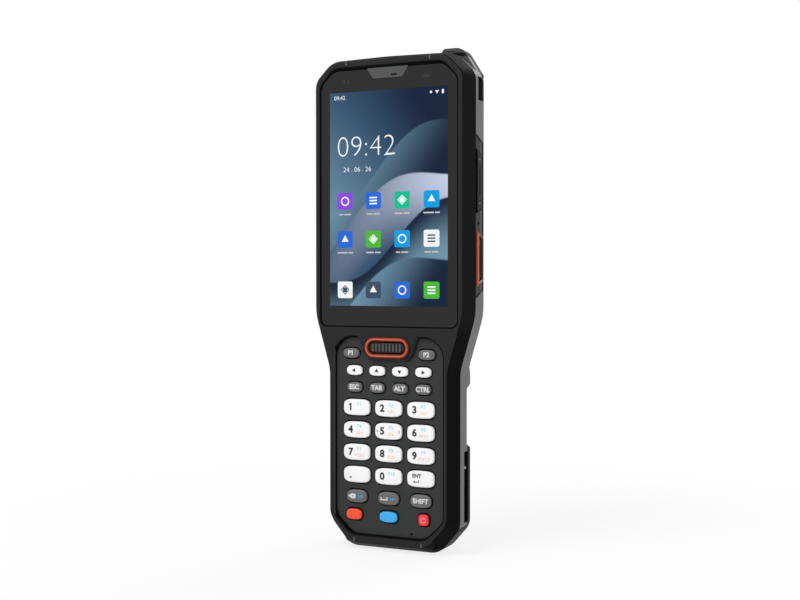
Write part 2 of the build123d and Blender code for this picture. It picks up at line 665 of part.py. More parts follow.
# Columns that stand in that room: screw bosses, board posts and the scan engine's rests.
with BuildPart() as rear_columns:
    with BuildSketch(front_plane(screen_back_y)):
        for x, z in screw_places:
            with Locations((x, z), (-x, z)):
                Circle(boss_radius)
    extrude(amount=screen_back_y - parting_y)
    with BuildSketch(front_plane(deck_y)):
        for x, z in board_posts[:2]:
            with Locations((x, z), (-x, z)):
                Circle(post_radius)
    extrude(amount=deck_y - board_back_y)
    with BuildSketch(front_plane(screen_back_y)):
        x, z = board_posts[2]
        with Locations((x, z), (-x, z)):
            Circle(post_radius)
    extrude(amount=screen_back_y - board_back_y)
    with BuildSketch(front_plane(screen_back_y)):
        with Locations((engine_rest_x, engine_z), (-engine_rest_x, engine_z)):
            Rectangle(engine_rest_width, engine_size[2])
    extrude(amount=screen_back_y - engine_back_y)
    add(rear_form.part, mode=Mode.INTERSECT)

with BuildPart() as rear_housing:
    add(rear_form.part)
    add(rear_hollow.part, mode=Mode.SUBTRACT)
    add(rear_columns.part)
    # Battery bay and the finger scoops beside it.
    add(pocket((-battery_half, deck_y, battery_low_z - slide_gap),
               (battery_half, half_depth + 1, battery_top_z + slide_gap)), mode=Mode.SUBTRACT)
    for side in (-1, 1):
        with BuildSketch(Plane.YZ.offset(side * battery_half)):
            with BuildLine():
                Polyline(
                    (deck_y, notch_low_z + notch_slope), (deck_y, notch_top_z - notch_slope),
                    (half_depth + 1, notch_top_z + notch_flare),
                    (half_depth + 1, notch_low_z - notch_flare), close=True)
            make_face()
        extrude(amount=side * screen_half, mode=Mode.SUBTRACT)
        # Scooped side panel for the side keys, and their windows.
        with BuildSketch(Plane.YZ.offset(side * scoop_floor)):
            with BuildLine():
                front, back = side_y - scoop_half_height, side_y + scoop_half_height
                FilletPolyline(
                    (front, scoop_low_z), (back, scoop_low_z + scoop_slant),
                    (back, scoop_top_z - scoop_slant), (front, scoop_top_z),
                    radius=0.8, close=True)
            make_face()
        extrude(amount=side * wall, mode=Mode.SUBTRACT)
        with BuildSketch(Plane.YZ.offset(side * well_floor)):
            add(side_key_outline(side_scan_z, side_scan_length, side_scan_height, -seam_gap))
            if side > 0:
                add(side_key_outline(volume_z, volume_length, volume_height, -slide_gap,
                                     well_front_cut))
        extrude(amount=side * wall, mode=Mode.SUBTRACT)
        with BuildSketch(Plane.YZ.offset(side * side_inner)):
            add(side_key_outline(side_scan_z, side_scan_length, side_scan_height,
                                 side_ring_band, ring_front_cut))
            if side > 0:
                add(side_key_outline(volume_z, volume_length, volume_height, -slide_gap,
                                     volume_front_cut))
        extrude(amount=side * wall * 2, mode=Mode.SUBTRACT)
        # Strap slots, and the reset pinhole on the right.
        if side > 0:
            with BuildSketch(Plane.YZ.offset(side_inner)):
                with Locations((side_y, reset_z)):
                    Circle(reset_radius)
            extrude(amount=wall * 2, mode=Mode.SUBTRACT)
        for (low, high, front, back), half in ((upper_slot, screen_half), (grip_slot, grip_half)):
            inner, outer = sorted((side * (half - slot_depth), side * (half + 1)))
            add(pocket((inner, front, low), (outer, back, high)), mode=Mode.SUBTRACT)
        # Slots for the latch stems.
        with BuildSketch(front_plane(deck_y)):
            with Locations((side * (latch_x - latch_travel / 2), latch_z)):
                Rectangle(latch_stem[0] + latch_travel + 2 * slide_gap,
                          latch_stem[1] + 2 * slide_gap)
        extrude(amount=wall * 2, mode=Mode.SUBTRACT)
    # Scanning window in the end face.
    front, back = window_y
    add(pocket((-window_half - seat_gap, front - seat_gap, end_z - window_recess - window_depth),
               (window_half + seat_gap, back + seat_gap, bumper_height + 1)), mode=Mode.SUBTRACT)
    add(pocket((-window_half + window_ledge, front + window_ledge, engine_z),
               (window_half - window_ledge, back - window_ledge, bumper_height)),
        mode=Mode.SUBTRACT)
    # Camera window and lens opening in the scan hump.
    with BuildSketch(front_plane(half_depth)):
        with Locations((camera_mid_x, camera_z)):
            RectangleRounded(camera_window_size[0] + 2 * seat_gap,
                             camera_window_size[1] + 2 * seat_gap, camera_window_round)
    extrude(amount=camera_window_size[2] + camera_recess, mode=Mode.SUBTRACT)
    with BuildSketch(front_plane(half_depth)):
        with Locations((camera_x, camera_z)):
            Circle(camera_radius + seat_gap)
    extrude(amount=half_depth - back_wall_inner_y, mode=Mode.SUBTRACT)
    # Speaker slots.
    with BuildSketch(front_plane(screen_back_y)):
        with Locations((0, speaker_z)):
            with GridLocations(0, speaker_pitch, 1, speaker_slots):
                SlotOverall(*speaker_slot)
    extrude(amount=wall, mode=Mode.SUBTRACT)
    # Socket, its cover's recess and hinge holes, and the charging contacts in the foot end.
    add(pocket((-cover_length / 2 - cover_swing_gap, usb_y - cover_width / 2 - cover_gap, -1),
               (cover_length / 2 + cover_gap, usb_y + cover_width / 2 + cover_gap,
                cover_depth + cover_lift + seat_gap)), mode=Mode.SUBTRACT)
    with BuildSketch(Plane.XY):
        with Locations((0, usb_y)):
            RectangleRounded(usb_shell[0] + 2 * seat_gap, usb_shell[1] + 2 * seat_gap,
                             usb_shell[1] / 2)
    extrude(amount=usb_block_z + wall, mode=Mode.SUBTRACT)
    add(pocket((-usb_shell[0] / 2 - seat_gap, lower_ceiling_y - seat_gap, usb_block_z),
               (usb_shell[0] / 2 + seat_gap, usb_y + usb_shell[1] / 2 + seat_gap,
                usb_low_z + usb_length + seat_gap)), mode=Mode.SUBTRACT)
    with BuildSketch(Plane.XZ.offset(-usb_y)):
        with Locations((cover_pin_x, cover_pin_z)):
            Circle(cover_pin_radius + pin_fit)
    pin_reach = cover_width / 2 + cover_gap + cover_pin_length
    extrude(amount=pin_reach, both=True, mode=Mode.SUBTRACT)
    with BuildSketch(Plane.XY.offset(contact_low_z)):
        with Locations(*[(side * (contact_x + step * contact_pitch / 2), usb_y)
                         for side in (-1, 1) for step in (-1, 1)]):
            Circle(contact_radius + seam_gap)
    extrude(amount=wall * 2, mode=Mode.SUBTRACT)
    with BuildSketch(Plane.XY):
        with Locations(*[(side * (contact_x + step * contact_pitch / 2), usb_y)
                         for side in (-1, 1) for step in (-1, 1)]):
            Circle(contact_radius - 2 * seam_gap)
    extrude(amount=wall, mode=Mode.SUBTRACT)
    # Screw holes with deep counterbores from the back.
    with BuildSketch(front_plane(screw_head_y)):
        for x, z in screw_places:
            with Locations((x, z), (-x, z)):
                Circle(screw_radius + pin_fit)
    extrude(amount=screw_head_y - parting_y, mode=Mode.SUBTRACT)
    with BuildSketch(front_plane(half_depth + 1)):
        for x, z in screw_places:
            with Locations((x, z), (-x, z)):
                Circle(screw_head_radius + seat_gap)
    extrude(amount=half_depth + 1 - screw_head_y, mode=Mode.SUBTRACT)
    add(housing_seal.part, mode=Mode.SUBTRACT)
save(rear_housing.part, "rear_housing")

# ---- scanning end, camera, sound, socket ----------------------------------------------
front, back = window_y
with BuildPart() as scan_window:
    add(pocket((-window_half, front, end_z - window_recess - window_depth),
               (window_half, back, end_z - window_recess)))
    chamfer(scan_window.faces().sort_by(Axis.Z)[-1].edges(), glass_bevel)
save(scan_window.part, "scan_window")

width, depth, height = engine_size
with BuildPart() as scan_engine:
    with BuildSketch(front_plane(engine_back_y)):
        with Locations((0, engine_z)):
            RectangleRounded(width, height, 0.8)
    extrude(amount=depth)
    chamfer(scan_engine.faces().sort_by(Axis.Z)[-1].edges(), 0.4)
    with BuildSketch(Plane.XY.offset(engine_z + height / 2)):
        with Locations(*[(x, engine_back_y - depth / 2) for x in engine_eye_x]):
            Circle(engine_eye_radius)
    extrude(amount=-engine_eye_depth, mode=Mode.SUBTRACT)
save(scan_engine.part, "scan_engine")

with BuildPart() as camera_window:
    with BuildSketch(front_plane(half_depth - camera_recess)):
        with Locations((camera_mid_x, camera_z)):
            RectangleRounded(*camera_window_size[:2], camera_window_round)
    extrude(amount=camera_window_size[2])
    with BuildSketch(front_plane(half_depth - camera_recess - camera_window_size[2])):
        with Locations((camera_x, camera_z)):
            Circle(camera_radius)
    extrude(amount=camera_length)
    chamfer(camera_window.faces().sort_by(Axis.Y)[-1].outer_wire().edges(), glass_bevel)
save(camera_window.part, "camera_window")

width, depth, height = speaker_size
with BuildPart() as loudspeaker:
    with BuildSketch(front_plane(back_wall_inner_y)):
        with Locations((0, speaker_z)):
            RectangleRounded(width, height, 2.0)
    extrude(amount=depth)
save(loudspeaker.part, "loudspeaker")

with BuildPart() as usb_socket:
    with BuildSketch(Plane.XY.offset(usb_low_z)):
        with Locations((0, usb_y)):
            RectangleRounded(*usb_shell, usb_shell[1] / 2 - 0.05)
            RectangleRounded(usb_shell[0] - 2 * usb_skin, usb_shell[1] - 2 * usb_skin,
                             usb_shell[1] / 2 - usb_skin - 0.05, mode=Mode.SUBTRACT)
    extrude(amount=usb_length)
    with BuildSketch(Plane.XY.offset(usb_low_z + usb_length)):
        with Locations((0, usb_y)):
            RectangleRounded(*usb_shell, usb_shell[1] / 2 - 0.05)
    extrude(amount=-usb_skin)
    with BuildSketch(Plane.XY.offset(usb_low_z + usb_skin)):
        with Locations((0, usb_y)):
            Rectangle(*usb_tongue)
    extrude(amount=usb_length - 1.5 * usb_skin)
save(usb_socket.part, "usb_socket")

with BuildPart() as charge_contacts:
    with BuildSketch(Plane.XY.offset(contact_low_z)):
        with Locations(*[(side * (contact_x + step * contact_pitch / 2), usb_y)
                         for side in (-1, 1) for step in (-1, 1)]):
            Circle(contact_radius)
    extrude(amount=contact_length)
save(charge_contacts.part, "charge_contacts")

# ---- main board with its shields and side switches ------------------------------------
with BuildPart() as main_board:
    with BuildSketch(front_plane(board_back_y)):
        with Locations((0, (main_board_low_z + main_board_top_z) / 2)):
            Rectangle(2 * main_board_half, main_board_top_z - main_board_low_z)
        with Locations((0, (board_tail_low_z + main_board_low_z) / 2)):
            Rectangle(2 * board_tail_half, main_board_low_z - board_tail_low_z)
    extrude(amount=main_board_depth)
    with BuildSketch(front_plane(board_back_y + shield_size[1])):
        with Locations((0, shield_z)):
            with GridLocations(0, shield_pitch, 1, 2):
                RectangleRounded(shield_size[0], shield_size[2], 1.0)
    extrude(amount=shield_size[1])
    switches = [(side, side_scan_z, key_end_x) for side in (-1, 1)]
    switches += [(1, volume_z + end * volume_plunger_z, key_end_x) for end in (-1, 1)]
    for side, z, reach in switches:
        inner, outer = sorted((side * (main_board_half - switch_block_length),
                               side * (reach - switch_gap - side_travel)))
        add(pocket((inner, board_back_y, z - side_switch[1] / 2),
                   (outer, board_back_y + side_switch[0], z + side_switch[1] / 2)))
save(main_board.part, "main_board")

# ---- keys on the sides ----------------------------------------------------------------
with BuildPart() as side_scan_rings:
    for side in (-1, 1):
        with BuildSketch(Plane.YZ.offset(side * well_floor)):
            add(side_key_outline(side_scan_z, side_scan_length, side_scan_height))
            add(side_key_outline(side_scan_z, side_scan_length, side_scan_height,
                                 side_ring_band, ring_front_cut), mode=Mode.SUBTRACT)
        extrude(amount=side * (key_well_depth + side_ring_proud))
    for face in (side_scan_rings.faces().sort_by(Axis.X)[0],
                 side_scan_rings.faces().sort_by(Axis.X)[-1]):
        chamfer(face.edges(), side_ring_chamfer)
save(side_scan_rings.part, "side_scan_rings")


def side_key(z, length, height, inset, front_cut, side, flange_low, flange_high, plungers):
    """A key in a side wall: cap with a finger groove, flange behind the wall, plungers."""
    face_x = screen_half - side_key_sunk
    front, back = side_y - height / 2 + inset + front_cut, side_y + height / 2 - inset
    groove_length, groove_height, groove_depth = side_groove
    with BuildPart() as key:
        with BuildSketch(Plane.YZ.offset(side * flange_x)):
            add(side_key_outline(z, length, height, inset, front_cut))
        extrude(amount=side * (face_x - flange_x))
        chamfer(key.faces().sort_by(Axis.X)[-1 if side > 0 else 0].edges(), side_key_chamfer)
        with BuildSketch(Plane.YZ.offset(side * face_x)):
            with Locations(((front + back) / 2, z)):
                SlotOverall(groove_length, groove_height, rotation=90)
        extrude(amount=-side * groove_depth, mode=Mode.SUBTRACT)
        inner, outer = sorted((side * (flange_x - side_flange_depth), side * flange_x))
        add(pocket((inner, front - side_margin, flange_low),
                   (outer, back + side_margin, flange_high)))
        with BuildSketch(Plane.YZ.offset(side * flange_x)):
            with Locations(*[(side_y, place) for place in plungers]):
                Circle(side_plunger[0])
        extrude(amount=-side * (side_flange_depth + side_plunger[1]))
    return key.part


scan_half = side_scan_length / 2 - side_ring_band - slide_gap + side_margin
for side, name in ((1, "side_scan_key_right"), (-1, "side_scan_key_left")):
    key = side_key(side_scan_z, side_scan_length, side_scan_height, side_ring_band + slide_gap,
                   ring_front_cut, side, side_scan_z - scan_half, side_scan_z + scan_half,
                   [side_scan_z])
    save(key, name)

with BuildPart() as volume_key:
    add(side_key(volume_z, volume_length, volume_height, 0, volume_front_cut, 1,
                 volume_z - volume_flange_half, volume_z + volume_flange_half,
                 [volume_z - volume_plunger_z, volume_z + volume_plunger_z]))
    with BuildSketch(Plane.XZ.offset(-side_y - volume_front_cut / 2)):
        with Locations((side_inner - rocker_radius - seam_gap, volume_z)):
            Circle(rocker_radius)
    extrude(amount=(volume_height - volume_front_cut) / 2 + side_margin, both=True)
save(volume_key.part, "volume_key")

# ---- battery pack, its latches and terminals ------------------------------------------
with BuildPart() as battery_pack:
    add(rear_form.part)
    add(pocket((-battery_half + slide_gap, deck_y + press_stop, battery_low_z),
               (battery_half - slide_gap, half_depth + 1, battery_top_z)), mode=Mode.INTERSECT)
    long_edges = battery_pack.edges().filter_by(Axis.Z).group_by(Axis.Y)[-1]
    fillet(long_edges, battery_round)
    add(pocket((-terminal_half, deck_y, terminal_z - terminal_size[2]),
               (terminal_half, deck_y + press_stop + terminal_relief, terminal_z + terminal_size[2])),
        mode=Mode.SUBTRACT)
save(battery_pack.part, "battery_pack")

with BuildPart() as battery_terminals:
    with BuildSketch(front_plane(deck_y + terminal_relief)):
        with Locations((0, terminal_z)):
            with GridLocations(terminal_pitch, 0, terminal_count, 1):
                Rectangle(terminal_size[0], terminal_size[2])
    extrude(amount=terminal_relief)
save(battery_terminals.part, "battery_terminals")

for side, name in ((1, "battery_latch_right"), (-1, "battery_latch_left")):
    base_y = deck_y + press_stop
    with BuildPart() as latch:
        with BuildSketch(front_plane(base_y)):
            with Locations((side * latch_x, latch_z)):
                RectangleRounded(latch_width, latch_length, 0.8)
        extrude(amount=-latch_height)
        chamfer(latch.faces().sort_by(Axis.Y)[-1].edges(), latch_chamfer)
        with BuildSketch(front_plane(base_y + latch_height)):
            with Locations((side * latch_x, latch_z)):
                with GridLocations(0, latch_rib_pitch, 1, latch_rib_count):
                    Rectangle(latch_width, latch_rib_width)
        extrude(amount=latch_rib_depth, mode=Mode.SUBTRACT)
        with BuildSketch(front_plane(base_y)):
            with Locations((side * latch_x, latch_z)):
                Rectangle(*latch_stem)
        extrude(amount=base_y - lower_ceiling_y + press_stop)
        with BuildSketch(front_plane(lower_ceiling_y - press_stop)):
            with Locations((side * (latch_x - latch_foot_shift), latch_z)):
                Rectangle(*latch_foot)
        extrude(amount=latch_foot_depth)
    save(latch.part, name)

# ---- socket cover, screws, strap pins --------------------------------------------------
with BuildPart() as usb_cover:
    with BuildSketch(Plane.XZ.offset(-usb_y)):
        with Locations((0, cover_pin_z)):
            SlotOverall(cover_length, cover_depth)
    extrude(amount=cover_width / 2, both=True)
    with BuildSketch(Plane.XZ.offset(-usb_y)):
        with Locations((cover_pin_x, cover_pin_z)):
            Circle(cover_pin_radius)
    extrude(amount=pin_reach - seam_gap, both=True)
save(usb_cover.part, "usb_cover")

with BuildPart() as housing_screws:
    with BuildSketch(front_plane(screw_head_y + screw_head_depth)) as heads:
        for x, z in screw_places:
            with Locations((x, z), (-x, z)):
                Circle(screw_head_radius)
    extrude(amount=screw_head_depth)
    with BuildSketch(front_plane(screw_head_y + screw_head_depth / 2)):
        for x, z in screw_places:
            with Locations((x, z), (-x, z)):
                Circle(screw_radius)
    extrude(amount=screw_head_y + screw_head_depth / 2 - screw_tip_y - seat_gap)
save(housing_screws.part, "housing_screws")

low, high, front, back = grip_slot
with BuildPart() as strap_pins:
    with BuildSketch(front_plane(back)):
        for side in (-1, 1):
            with Locations((side * (grip_half - strap_pin_inset), strap_pin_z)):
                Circle(strap_pin_radius)
    extrude(amount=back - front)
save(strap_pins.part, "strap_pins")
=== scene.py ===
"""Rugged barcode terminal: the finish of its housings, display, keypad, scan keys and back."""

import json
import math

import bmesh
import bpy
from bpy.props import (
    FloatProperty, FloatVectorProperty, IntProperty, PointerProperty, StringProperty)
from mathutils import Matrix, Vector

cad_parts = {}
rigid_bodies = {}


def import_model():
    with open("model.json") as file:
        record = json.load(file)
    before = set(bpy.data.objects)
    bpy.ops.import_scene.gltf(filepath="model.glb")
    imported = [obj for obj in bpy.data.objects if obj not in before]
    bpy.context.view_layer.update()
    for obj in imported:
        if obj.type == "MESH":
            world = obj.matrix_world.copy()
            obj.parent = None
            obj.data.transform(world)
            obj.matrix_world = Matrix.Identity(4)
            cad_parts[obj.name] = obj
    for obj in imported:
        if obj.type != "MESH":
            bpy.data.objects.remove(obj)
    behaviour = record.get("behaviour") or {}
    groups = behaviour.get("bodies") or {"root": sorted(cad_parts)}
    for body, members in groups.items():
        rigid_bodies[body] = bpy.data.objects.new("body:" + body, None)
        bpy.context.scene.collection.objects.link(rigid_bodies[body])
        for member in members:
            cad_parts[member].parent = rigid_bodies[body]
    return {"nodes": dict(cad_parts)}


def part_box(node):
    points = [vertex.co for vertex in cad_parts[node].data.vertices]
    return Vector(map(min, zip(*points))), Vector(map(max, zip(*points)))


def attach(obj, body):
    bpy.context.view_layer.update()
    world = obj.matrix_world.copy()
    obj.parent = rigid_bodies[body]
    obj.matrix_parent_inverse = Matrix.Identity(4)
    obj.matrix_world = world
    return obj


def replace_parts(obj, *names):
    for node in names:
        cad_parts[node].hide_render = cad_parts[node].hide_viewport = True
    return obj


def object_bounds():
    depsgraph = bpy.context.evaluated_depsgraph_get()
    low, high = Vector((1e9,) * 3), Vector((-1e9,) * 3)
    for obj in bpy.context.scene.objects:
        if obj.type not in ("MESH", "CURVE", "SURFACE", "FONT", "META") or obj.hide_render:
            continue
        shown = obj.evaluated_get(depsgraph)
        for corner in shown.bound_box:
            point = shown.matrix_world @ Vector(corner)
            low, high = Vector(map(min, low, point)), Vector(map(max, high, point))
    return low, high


bl_info = {
    "name": "Barcode terminal",
    "version": (1, 0, 0),
    "blender": (4, 5, 0),
    "location": "View3D > Sidebar > Terminal",
    "description": "Finishes a rugged handheld barcode terminal around its construction model",
    "category": "Object",
}

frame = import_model()
cad_low, cad_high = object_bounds()

HOUSING = "housing"
BLACK, WHITE = (0, 0, 0, 1), (1, 1, 1, 1)
GRAIN, GRAIN_DEPTH = 0.00035, 0.000012         # size and height of the moulded grain
EDGE = 0.00022                                 # radius at which moulded edges are rounded off
DULL_SPECULAR = 0.035                          # of plastic that hardly mirrors anything
SMOOTH_ANGLE = math.radians(35)                # sharper edges than this stay sharp
FACING_DISPLAY = (math.radians(90), 0, 0)      # turns a flat shape to face the viewer, -Y
FACING_RIGHT = (math.radians(90), 0, math.radians(90))      # the same towards +X
FACING_BACK = (math.radians(90), 0, math.radians(180))      # the same towards +Y


# ---- values ---------------------------------------------------------------------------

def paint(code):
    """Linear RGBA of a colour written as 0xRRGGBB."""
    def linear(value):
        return value / 12.92 if value <= 0.04045 else ((value + 0.055) / 1.055) ** 2.4
    return tuple(linear((code >> shift & 255) / 255) for shift in (16, 8, 0)) + (1.0,)


def shade(name, description, code):
    """A colour that a user can change."""
    return FloatVectorProperty(name=name, description=description, default=paint(code),
                               size=4, min=0, max=1, subtype="COLOR")


def length(name, description, default):
    """A size, a place or a depth in metres."""
    return FloatProperty(name=name, description=description, default=default, min=0,
                         precision=5, unit="LENGTH", subtype="DISTANCE")


def number(name, description, default):
    """A share, a power or a level."""
    return FloatProperty(name=name, description=description, default=default)


def angle(name, description, degrees):
    """A turn, given in degrees and kept in radians."""
    return FloatProperty(name=name, description=description, default=math.radians(degrees),
                         unit="ROTATION", subtype="ANGLE")


def point(name, description, default):
    """A place of two or three lengths."""
    return FloatVectorProperty(name=name, description=description, default=default,
                               size=len(default), precision=5, unit="LENGTH",
                               subtype="XYZ_LENGTH")


class HousingLook(bpy.types.PropertyGroup):
    """Colours and grain of the moulded shells"""
    front: shade("Front", "Face of the rim", 0x272728)
    # Painted shade: the dark colours below darken the slopes beside the rim and the walls of its
    # recesses, where shade falls. The slopes beside the display and the tongue's sides get a
    # lighter painted shade. The lip, paler than the rim's face, is painted light on the upper left
    # wall of the keypad's recess.
    flank_shade: shade("Flank", "Slopes beside and inside the rim", 0x080808)
    flank_high_shade: shade("High flank", "Outer slopes beside the display", 0x171717)
    lit_lip: shade("Lip", "Upper part of the recess's left wall", 0x3b3b3b)
    lip_depth: length("Lip depth", "The lip ends this far behind the rim", 0.0011)
    lip_side: length("Lip side", "Reach of the lip beyond the keypad's panel", 0.0014)
    tongue: shade("Tongue", "Sides of the tongue that carries the front scan key", 0x2e2f2f)
    tongue_side: length("Tongue side", "Reach of the tongue's colour beside the ring", 0.0036)
    tongue_foot: length("Tongue foot", "Reach of the tongue's colour below the ring", 0.0012)
    flank_depth: length("Flank depth", "The flank starts this far behind the rim", 0.00008)
    rear: shade("Rear", "Rear housing and battery", 0x2e2e2f)
    rear_dull: number("Rear dullness", "Share of the rear's front and back that is dull", 0.62)
    bumper: shade("Bumper", "Corners of the rear housing", 0x0e0e0e)
    low_bumper: length("Low bumper", "Height of the foot end's bumpers", 0.052)
    high_bumper: length("High bumper", "Height at which the upper bumpers start", 0.1815)
    bumper_front: length("Bumper front", "The bumpers start at this depth", 0.0017)
    foot_band: length("Foot band", "Height of the dark band all round the foot end", 0.01075)
    head_band: length("Head band", "Height of the dark band all round the scanning end", 0.0015)
    tip: shade("Bumper tip", "Front of the bumpers' tips at the scanning end", 0x484848)
    tip_back: length("Bumper tip back", "The tip's own colour has faded at this depth", 0.006)
    panel: shade("Side panel", "Floor of the scoops for the side keys", 0x141414)
    panel_share: number("Side panel share", "How strongly the side panel is coloured", 0.75)
    panel_sunk: length("Side panel depth", "The side panel lies this far inside the wall", 0.0008)
    panel_back: length("Side panel back", "The side panel's colour ends at this depth", 0.0004)
    panel_low: length("Side panel foot", "Reach of the side panel below the rings", 0.006)
    panel_high: length("Side panel head", "Reach of the side panel above the volume key", 0.01)
    reset_height: length("Reset height", "Height of the reset pinhole on the right", 0.1327)
    # Painted shade: a dark disc round the reset pinhole stands in for the shade inside the hole.
    pinhole_shade_radius: length("Reset rim", "Radius of the dark rim of the pinhole", 0.0009)
    # Painted highlight: light caught at the edges of the trim seams, drawn as pale lines.
    seam: shade("Seam", "Light that shows in the seams of the trim inserts", 0x7c7c7c)
    seal: shade("Seal", "Seal round the parting line", 0x0a0a0a)
    grain: length("Grain", "Size of the moulded grain", GRAIN)
    grain_depth: length("Grain depth", "Height of the moulded grain", GRAIN_DEPTH)
    edge: length("Edge", "Radius at which the moulded edges are rounded off", EDGE)
    seam_width: length("Seam width", "Width of the trim seams", 0.00028)
    seam_lift: length("Seam lift", "The seams stand this far above the trim", 0.00002)


class DisplayLook(bpy.types.PropertyGroup):
    """Cover glass, screen and earpiece"""
    border: shade("Border", "Printed border under the glass", 0x0c0c0c)
    earpiece: shade("Earpiece", "Grille of the earpiece", 0x424443)
    window_drop: length("Window drop", "The sensor windows lie this far below the glass's end",
                        0.0046)
    screen_width: length("Screen width", "Active area across", 0.0523)
    screen_height: length("Screen height", "Active area along", 0.0871)
    screen_middle: length("Screen middle", "Height of the middle of the active area", 0.14319)
    layer: length("Layer", "Step between what lies on the screen", 0.00002)
    clock: StringProperty(name="Clock", description="Digits of the clock", default="09:42")
    clock_size: length("Clock size", "Size of the clock's digits", 0.0122)
    clock_place: point("Clock place", "From the screen's upper left corner, across and down",
                       (0.0165, 0.0226))
    date: StringProperty(name="Date", description="Digits under the clock", default="24 . 06 . 26")
    date_size: length("Date size", "Size of the digits under the clock", 0.0028)
    date_place: point("Date place", "From the screen's upper left corner, across and down",
                      (0.0125, 0.0316))
    status_size: length("Status size", "Size of the digits in the status line", 0.0023)
    status_drop: length("Status drop", "The status line lies this far below the top", 0.0022)
    tile_size: length("Tile size", "Width of an application tile", 0.0068)
    tile_pitch: length("Tile pitch", "From one tile to the next across", 0.0128)
    name_drop: length("Name drop", "The name bars lie this far below a tile's middle", 0.0054)
    sky: shade("Sky", "Upper part of the picture", 0x2f4c68)
    teal: shade("Teal", "Left part of the picture", 0x6c91a8)
    navy: shade("Navy", "Dark ribbons of the picture", 0x081c38)
    pale: shade("Pale", "Pale ribbon of the picture", 0xc6d1e8)
    ink: shade("Ink", "Digits and marks on the screen", 0xf4f8fb)


class KeypadLook(bpy.types.PropertyGroup):
    """Keys of the keypad and their legends"""
    panel: shade("Panel", "Textured floor of the keypad", 0x262727)
    # Painted shade: a key takes this colour where it goes down into its opening, for the shade in
    # the gap round it.
    gap: shade("Gap", "What lies deep in the gaps round the keys", 0x050505)
    white: shade("White", "Digit and arrow keys", 0xffffff)
    grey: shade("Grey", "Mode keys", 0x666667)
    orange: shade("Orange", "Orange key", 0xff5230)
    blue: shade("Blue", "Blue key", 0x3cb2f4)
    red: shade("Red", "Power key", 0xf8303c)
    legend_black: shade("Black legend", "Digits", 0x202124)
    legend_white: shade("White legend", "Legends on grey keys", 0xdadada)
    legend_blue: shade("Blue legend", "Second legends", 0xa6d2ec)
    legend_orange: shade("Orange legend", "Third legends", 0xf6cdb6)
    legend_aqua: shade("Aqua legend", "Second legends on grey keys", 0x5f9db8)
    legend_rose: shade("Rose legend", "Sign on the power key", 0xffb4ba)
    flange: length("Flange", "Flange beyond the key's cap", 0.00065)
    flange_depth: length("Flange depth", "Thickness of the flange", 0.0006)
    flange_gap: length("Flange gap", "Room between the panel and a flange", 0.00015)
    rounding: length("Rounding", "Radius of the rounded edge of a cap", 0.0006)
    crown: length("Crown", "Rise of a cap's middle", 0.0001)
    sides: IntProperty(name="Sides", description="Points round a cap", default=48, min=12)
    print_lift: length("Print lift", "Legends stand this far above their key", 0.000015)


class ScanLook(bpy.types.PropertyGroup):
    """Scan keys, their rings and the side keys"""
    # Painted highlight and shade: the ring colour is a painted highlight along the front ring's
    # ridge. The colour of the ring's flanks is painted shade on the rings' outer and inner edges.
    # The ring shade is painted shade on the side rings behind their front bar.
    ring: shade("Ring", "Ridge of the front ring", 0xc97055)
    ring_body: shade("Ring body", "Sides of the front ring beside its ridge", 0x8f2b10)
    ring_flank_shade: shade("Ring flank", "Outer and inner edges of the rings", 0x55200f)
    ring_shade: shade("Ring shade", "The side rings behind their front bar", 0x30140d)
    band: length("Band", "Width of the front ring's band", 0.0019)
    ridge_highlight_width: length("Ridge width", "Width of the pale ridge line", 0.0003)
    ring_height: length("Ring height", "Depth of the front ring's flanks", 0.0008)
    bar: length("Bar", "Width of the front bar of a side ring", 0.0026)
    # The bar's own orange, with a painted highlight along its middle.
    bar_orange_and_highlight: shade("Bar colour", "Middle of the front bar of a side ring", 0xc65f42)
    insert: shade("Insert", "Faces of the side keys", 0x2c2c2d)
    # Painted shade: the side keys turn near black below their faces, in their grooves and round
    # their edges.
    groove_shade: shade("Groove", "Finger grooves of the side keys", 0x040404)
    ground: shade("Ground", "Ground between the ribs of the front scan key", 0x2c2c2c)
    # Painted highlight: the ribs' tops are paler than the ground, which is the scan key's own
    # colour.
    rib_highlight: shade("Rib", "Ribs of the front scan key", 0x545454)
    rib_height: length("Rib height", "The ribs stand this far above their ground", 0.0005)
    mark: shade("Mark", "Signs on the volume key", 0x8a8a8a)


class BackLook(bpy.types.PropertyGroup):
    """Camera, speaker, screws and contacts"""
    glass: shade("Glass", "Camera and scanning windows", 0x0b0b0f)
    steel: shade("Steel", "Screws, pins and socket", 0xa8a8a6)
    gold: shade("Gold", "Contacts", 0xd0a552)
    board: shade("Board", "Circuit boards", 0x1f4a33)
    lens: shade("Lens", "Coated front of the camera's lens", 0x141a2e)
    flash: shade("Flash", "Lens of the flash", 0xe9e2c4)
    lens_place: point("Lens place", "Middle of the camera's lens, across and up",
                      (-0.008, 0.178))
    lens_radius: length("Lens radius", "Outer radius of the lens ring", 0.0034)
    lens_rise: length("Lens rise", "Height of the lens ring on its window", 0.00025)
    flash_across: length("Flash across", "Place of the flash across the window", 0.0016)
    flash_radius: length("Flash radius", "Radius of the flash", 0.0017)
    screw_head: length("Screw head", "Radius of a screw's head", 0.0017)
    screw_depth: length("Screw depth", "Thickness of a screw's head", 0.0012)
    screw_shank: length("Screw shank", "Radius of a screw's shank", 0.0009)


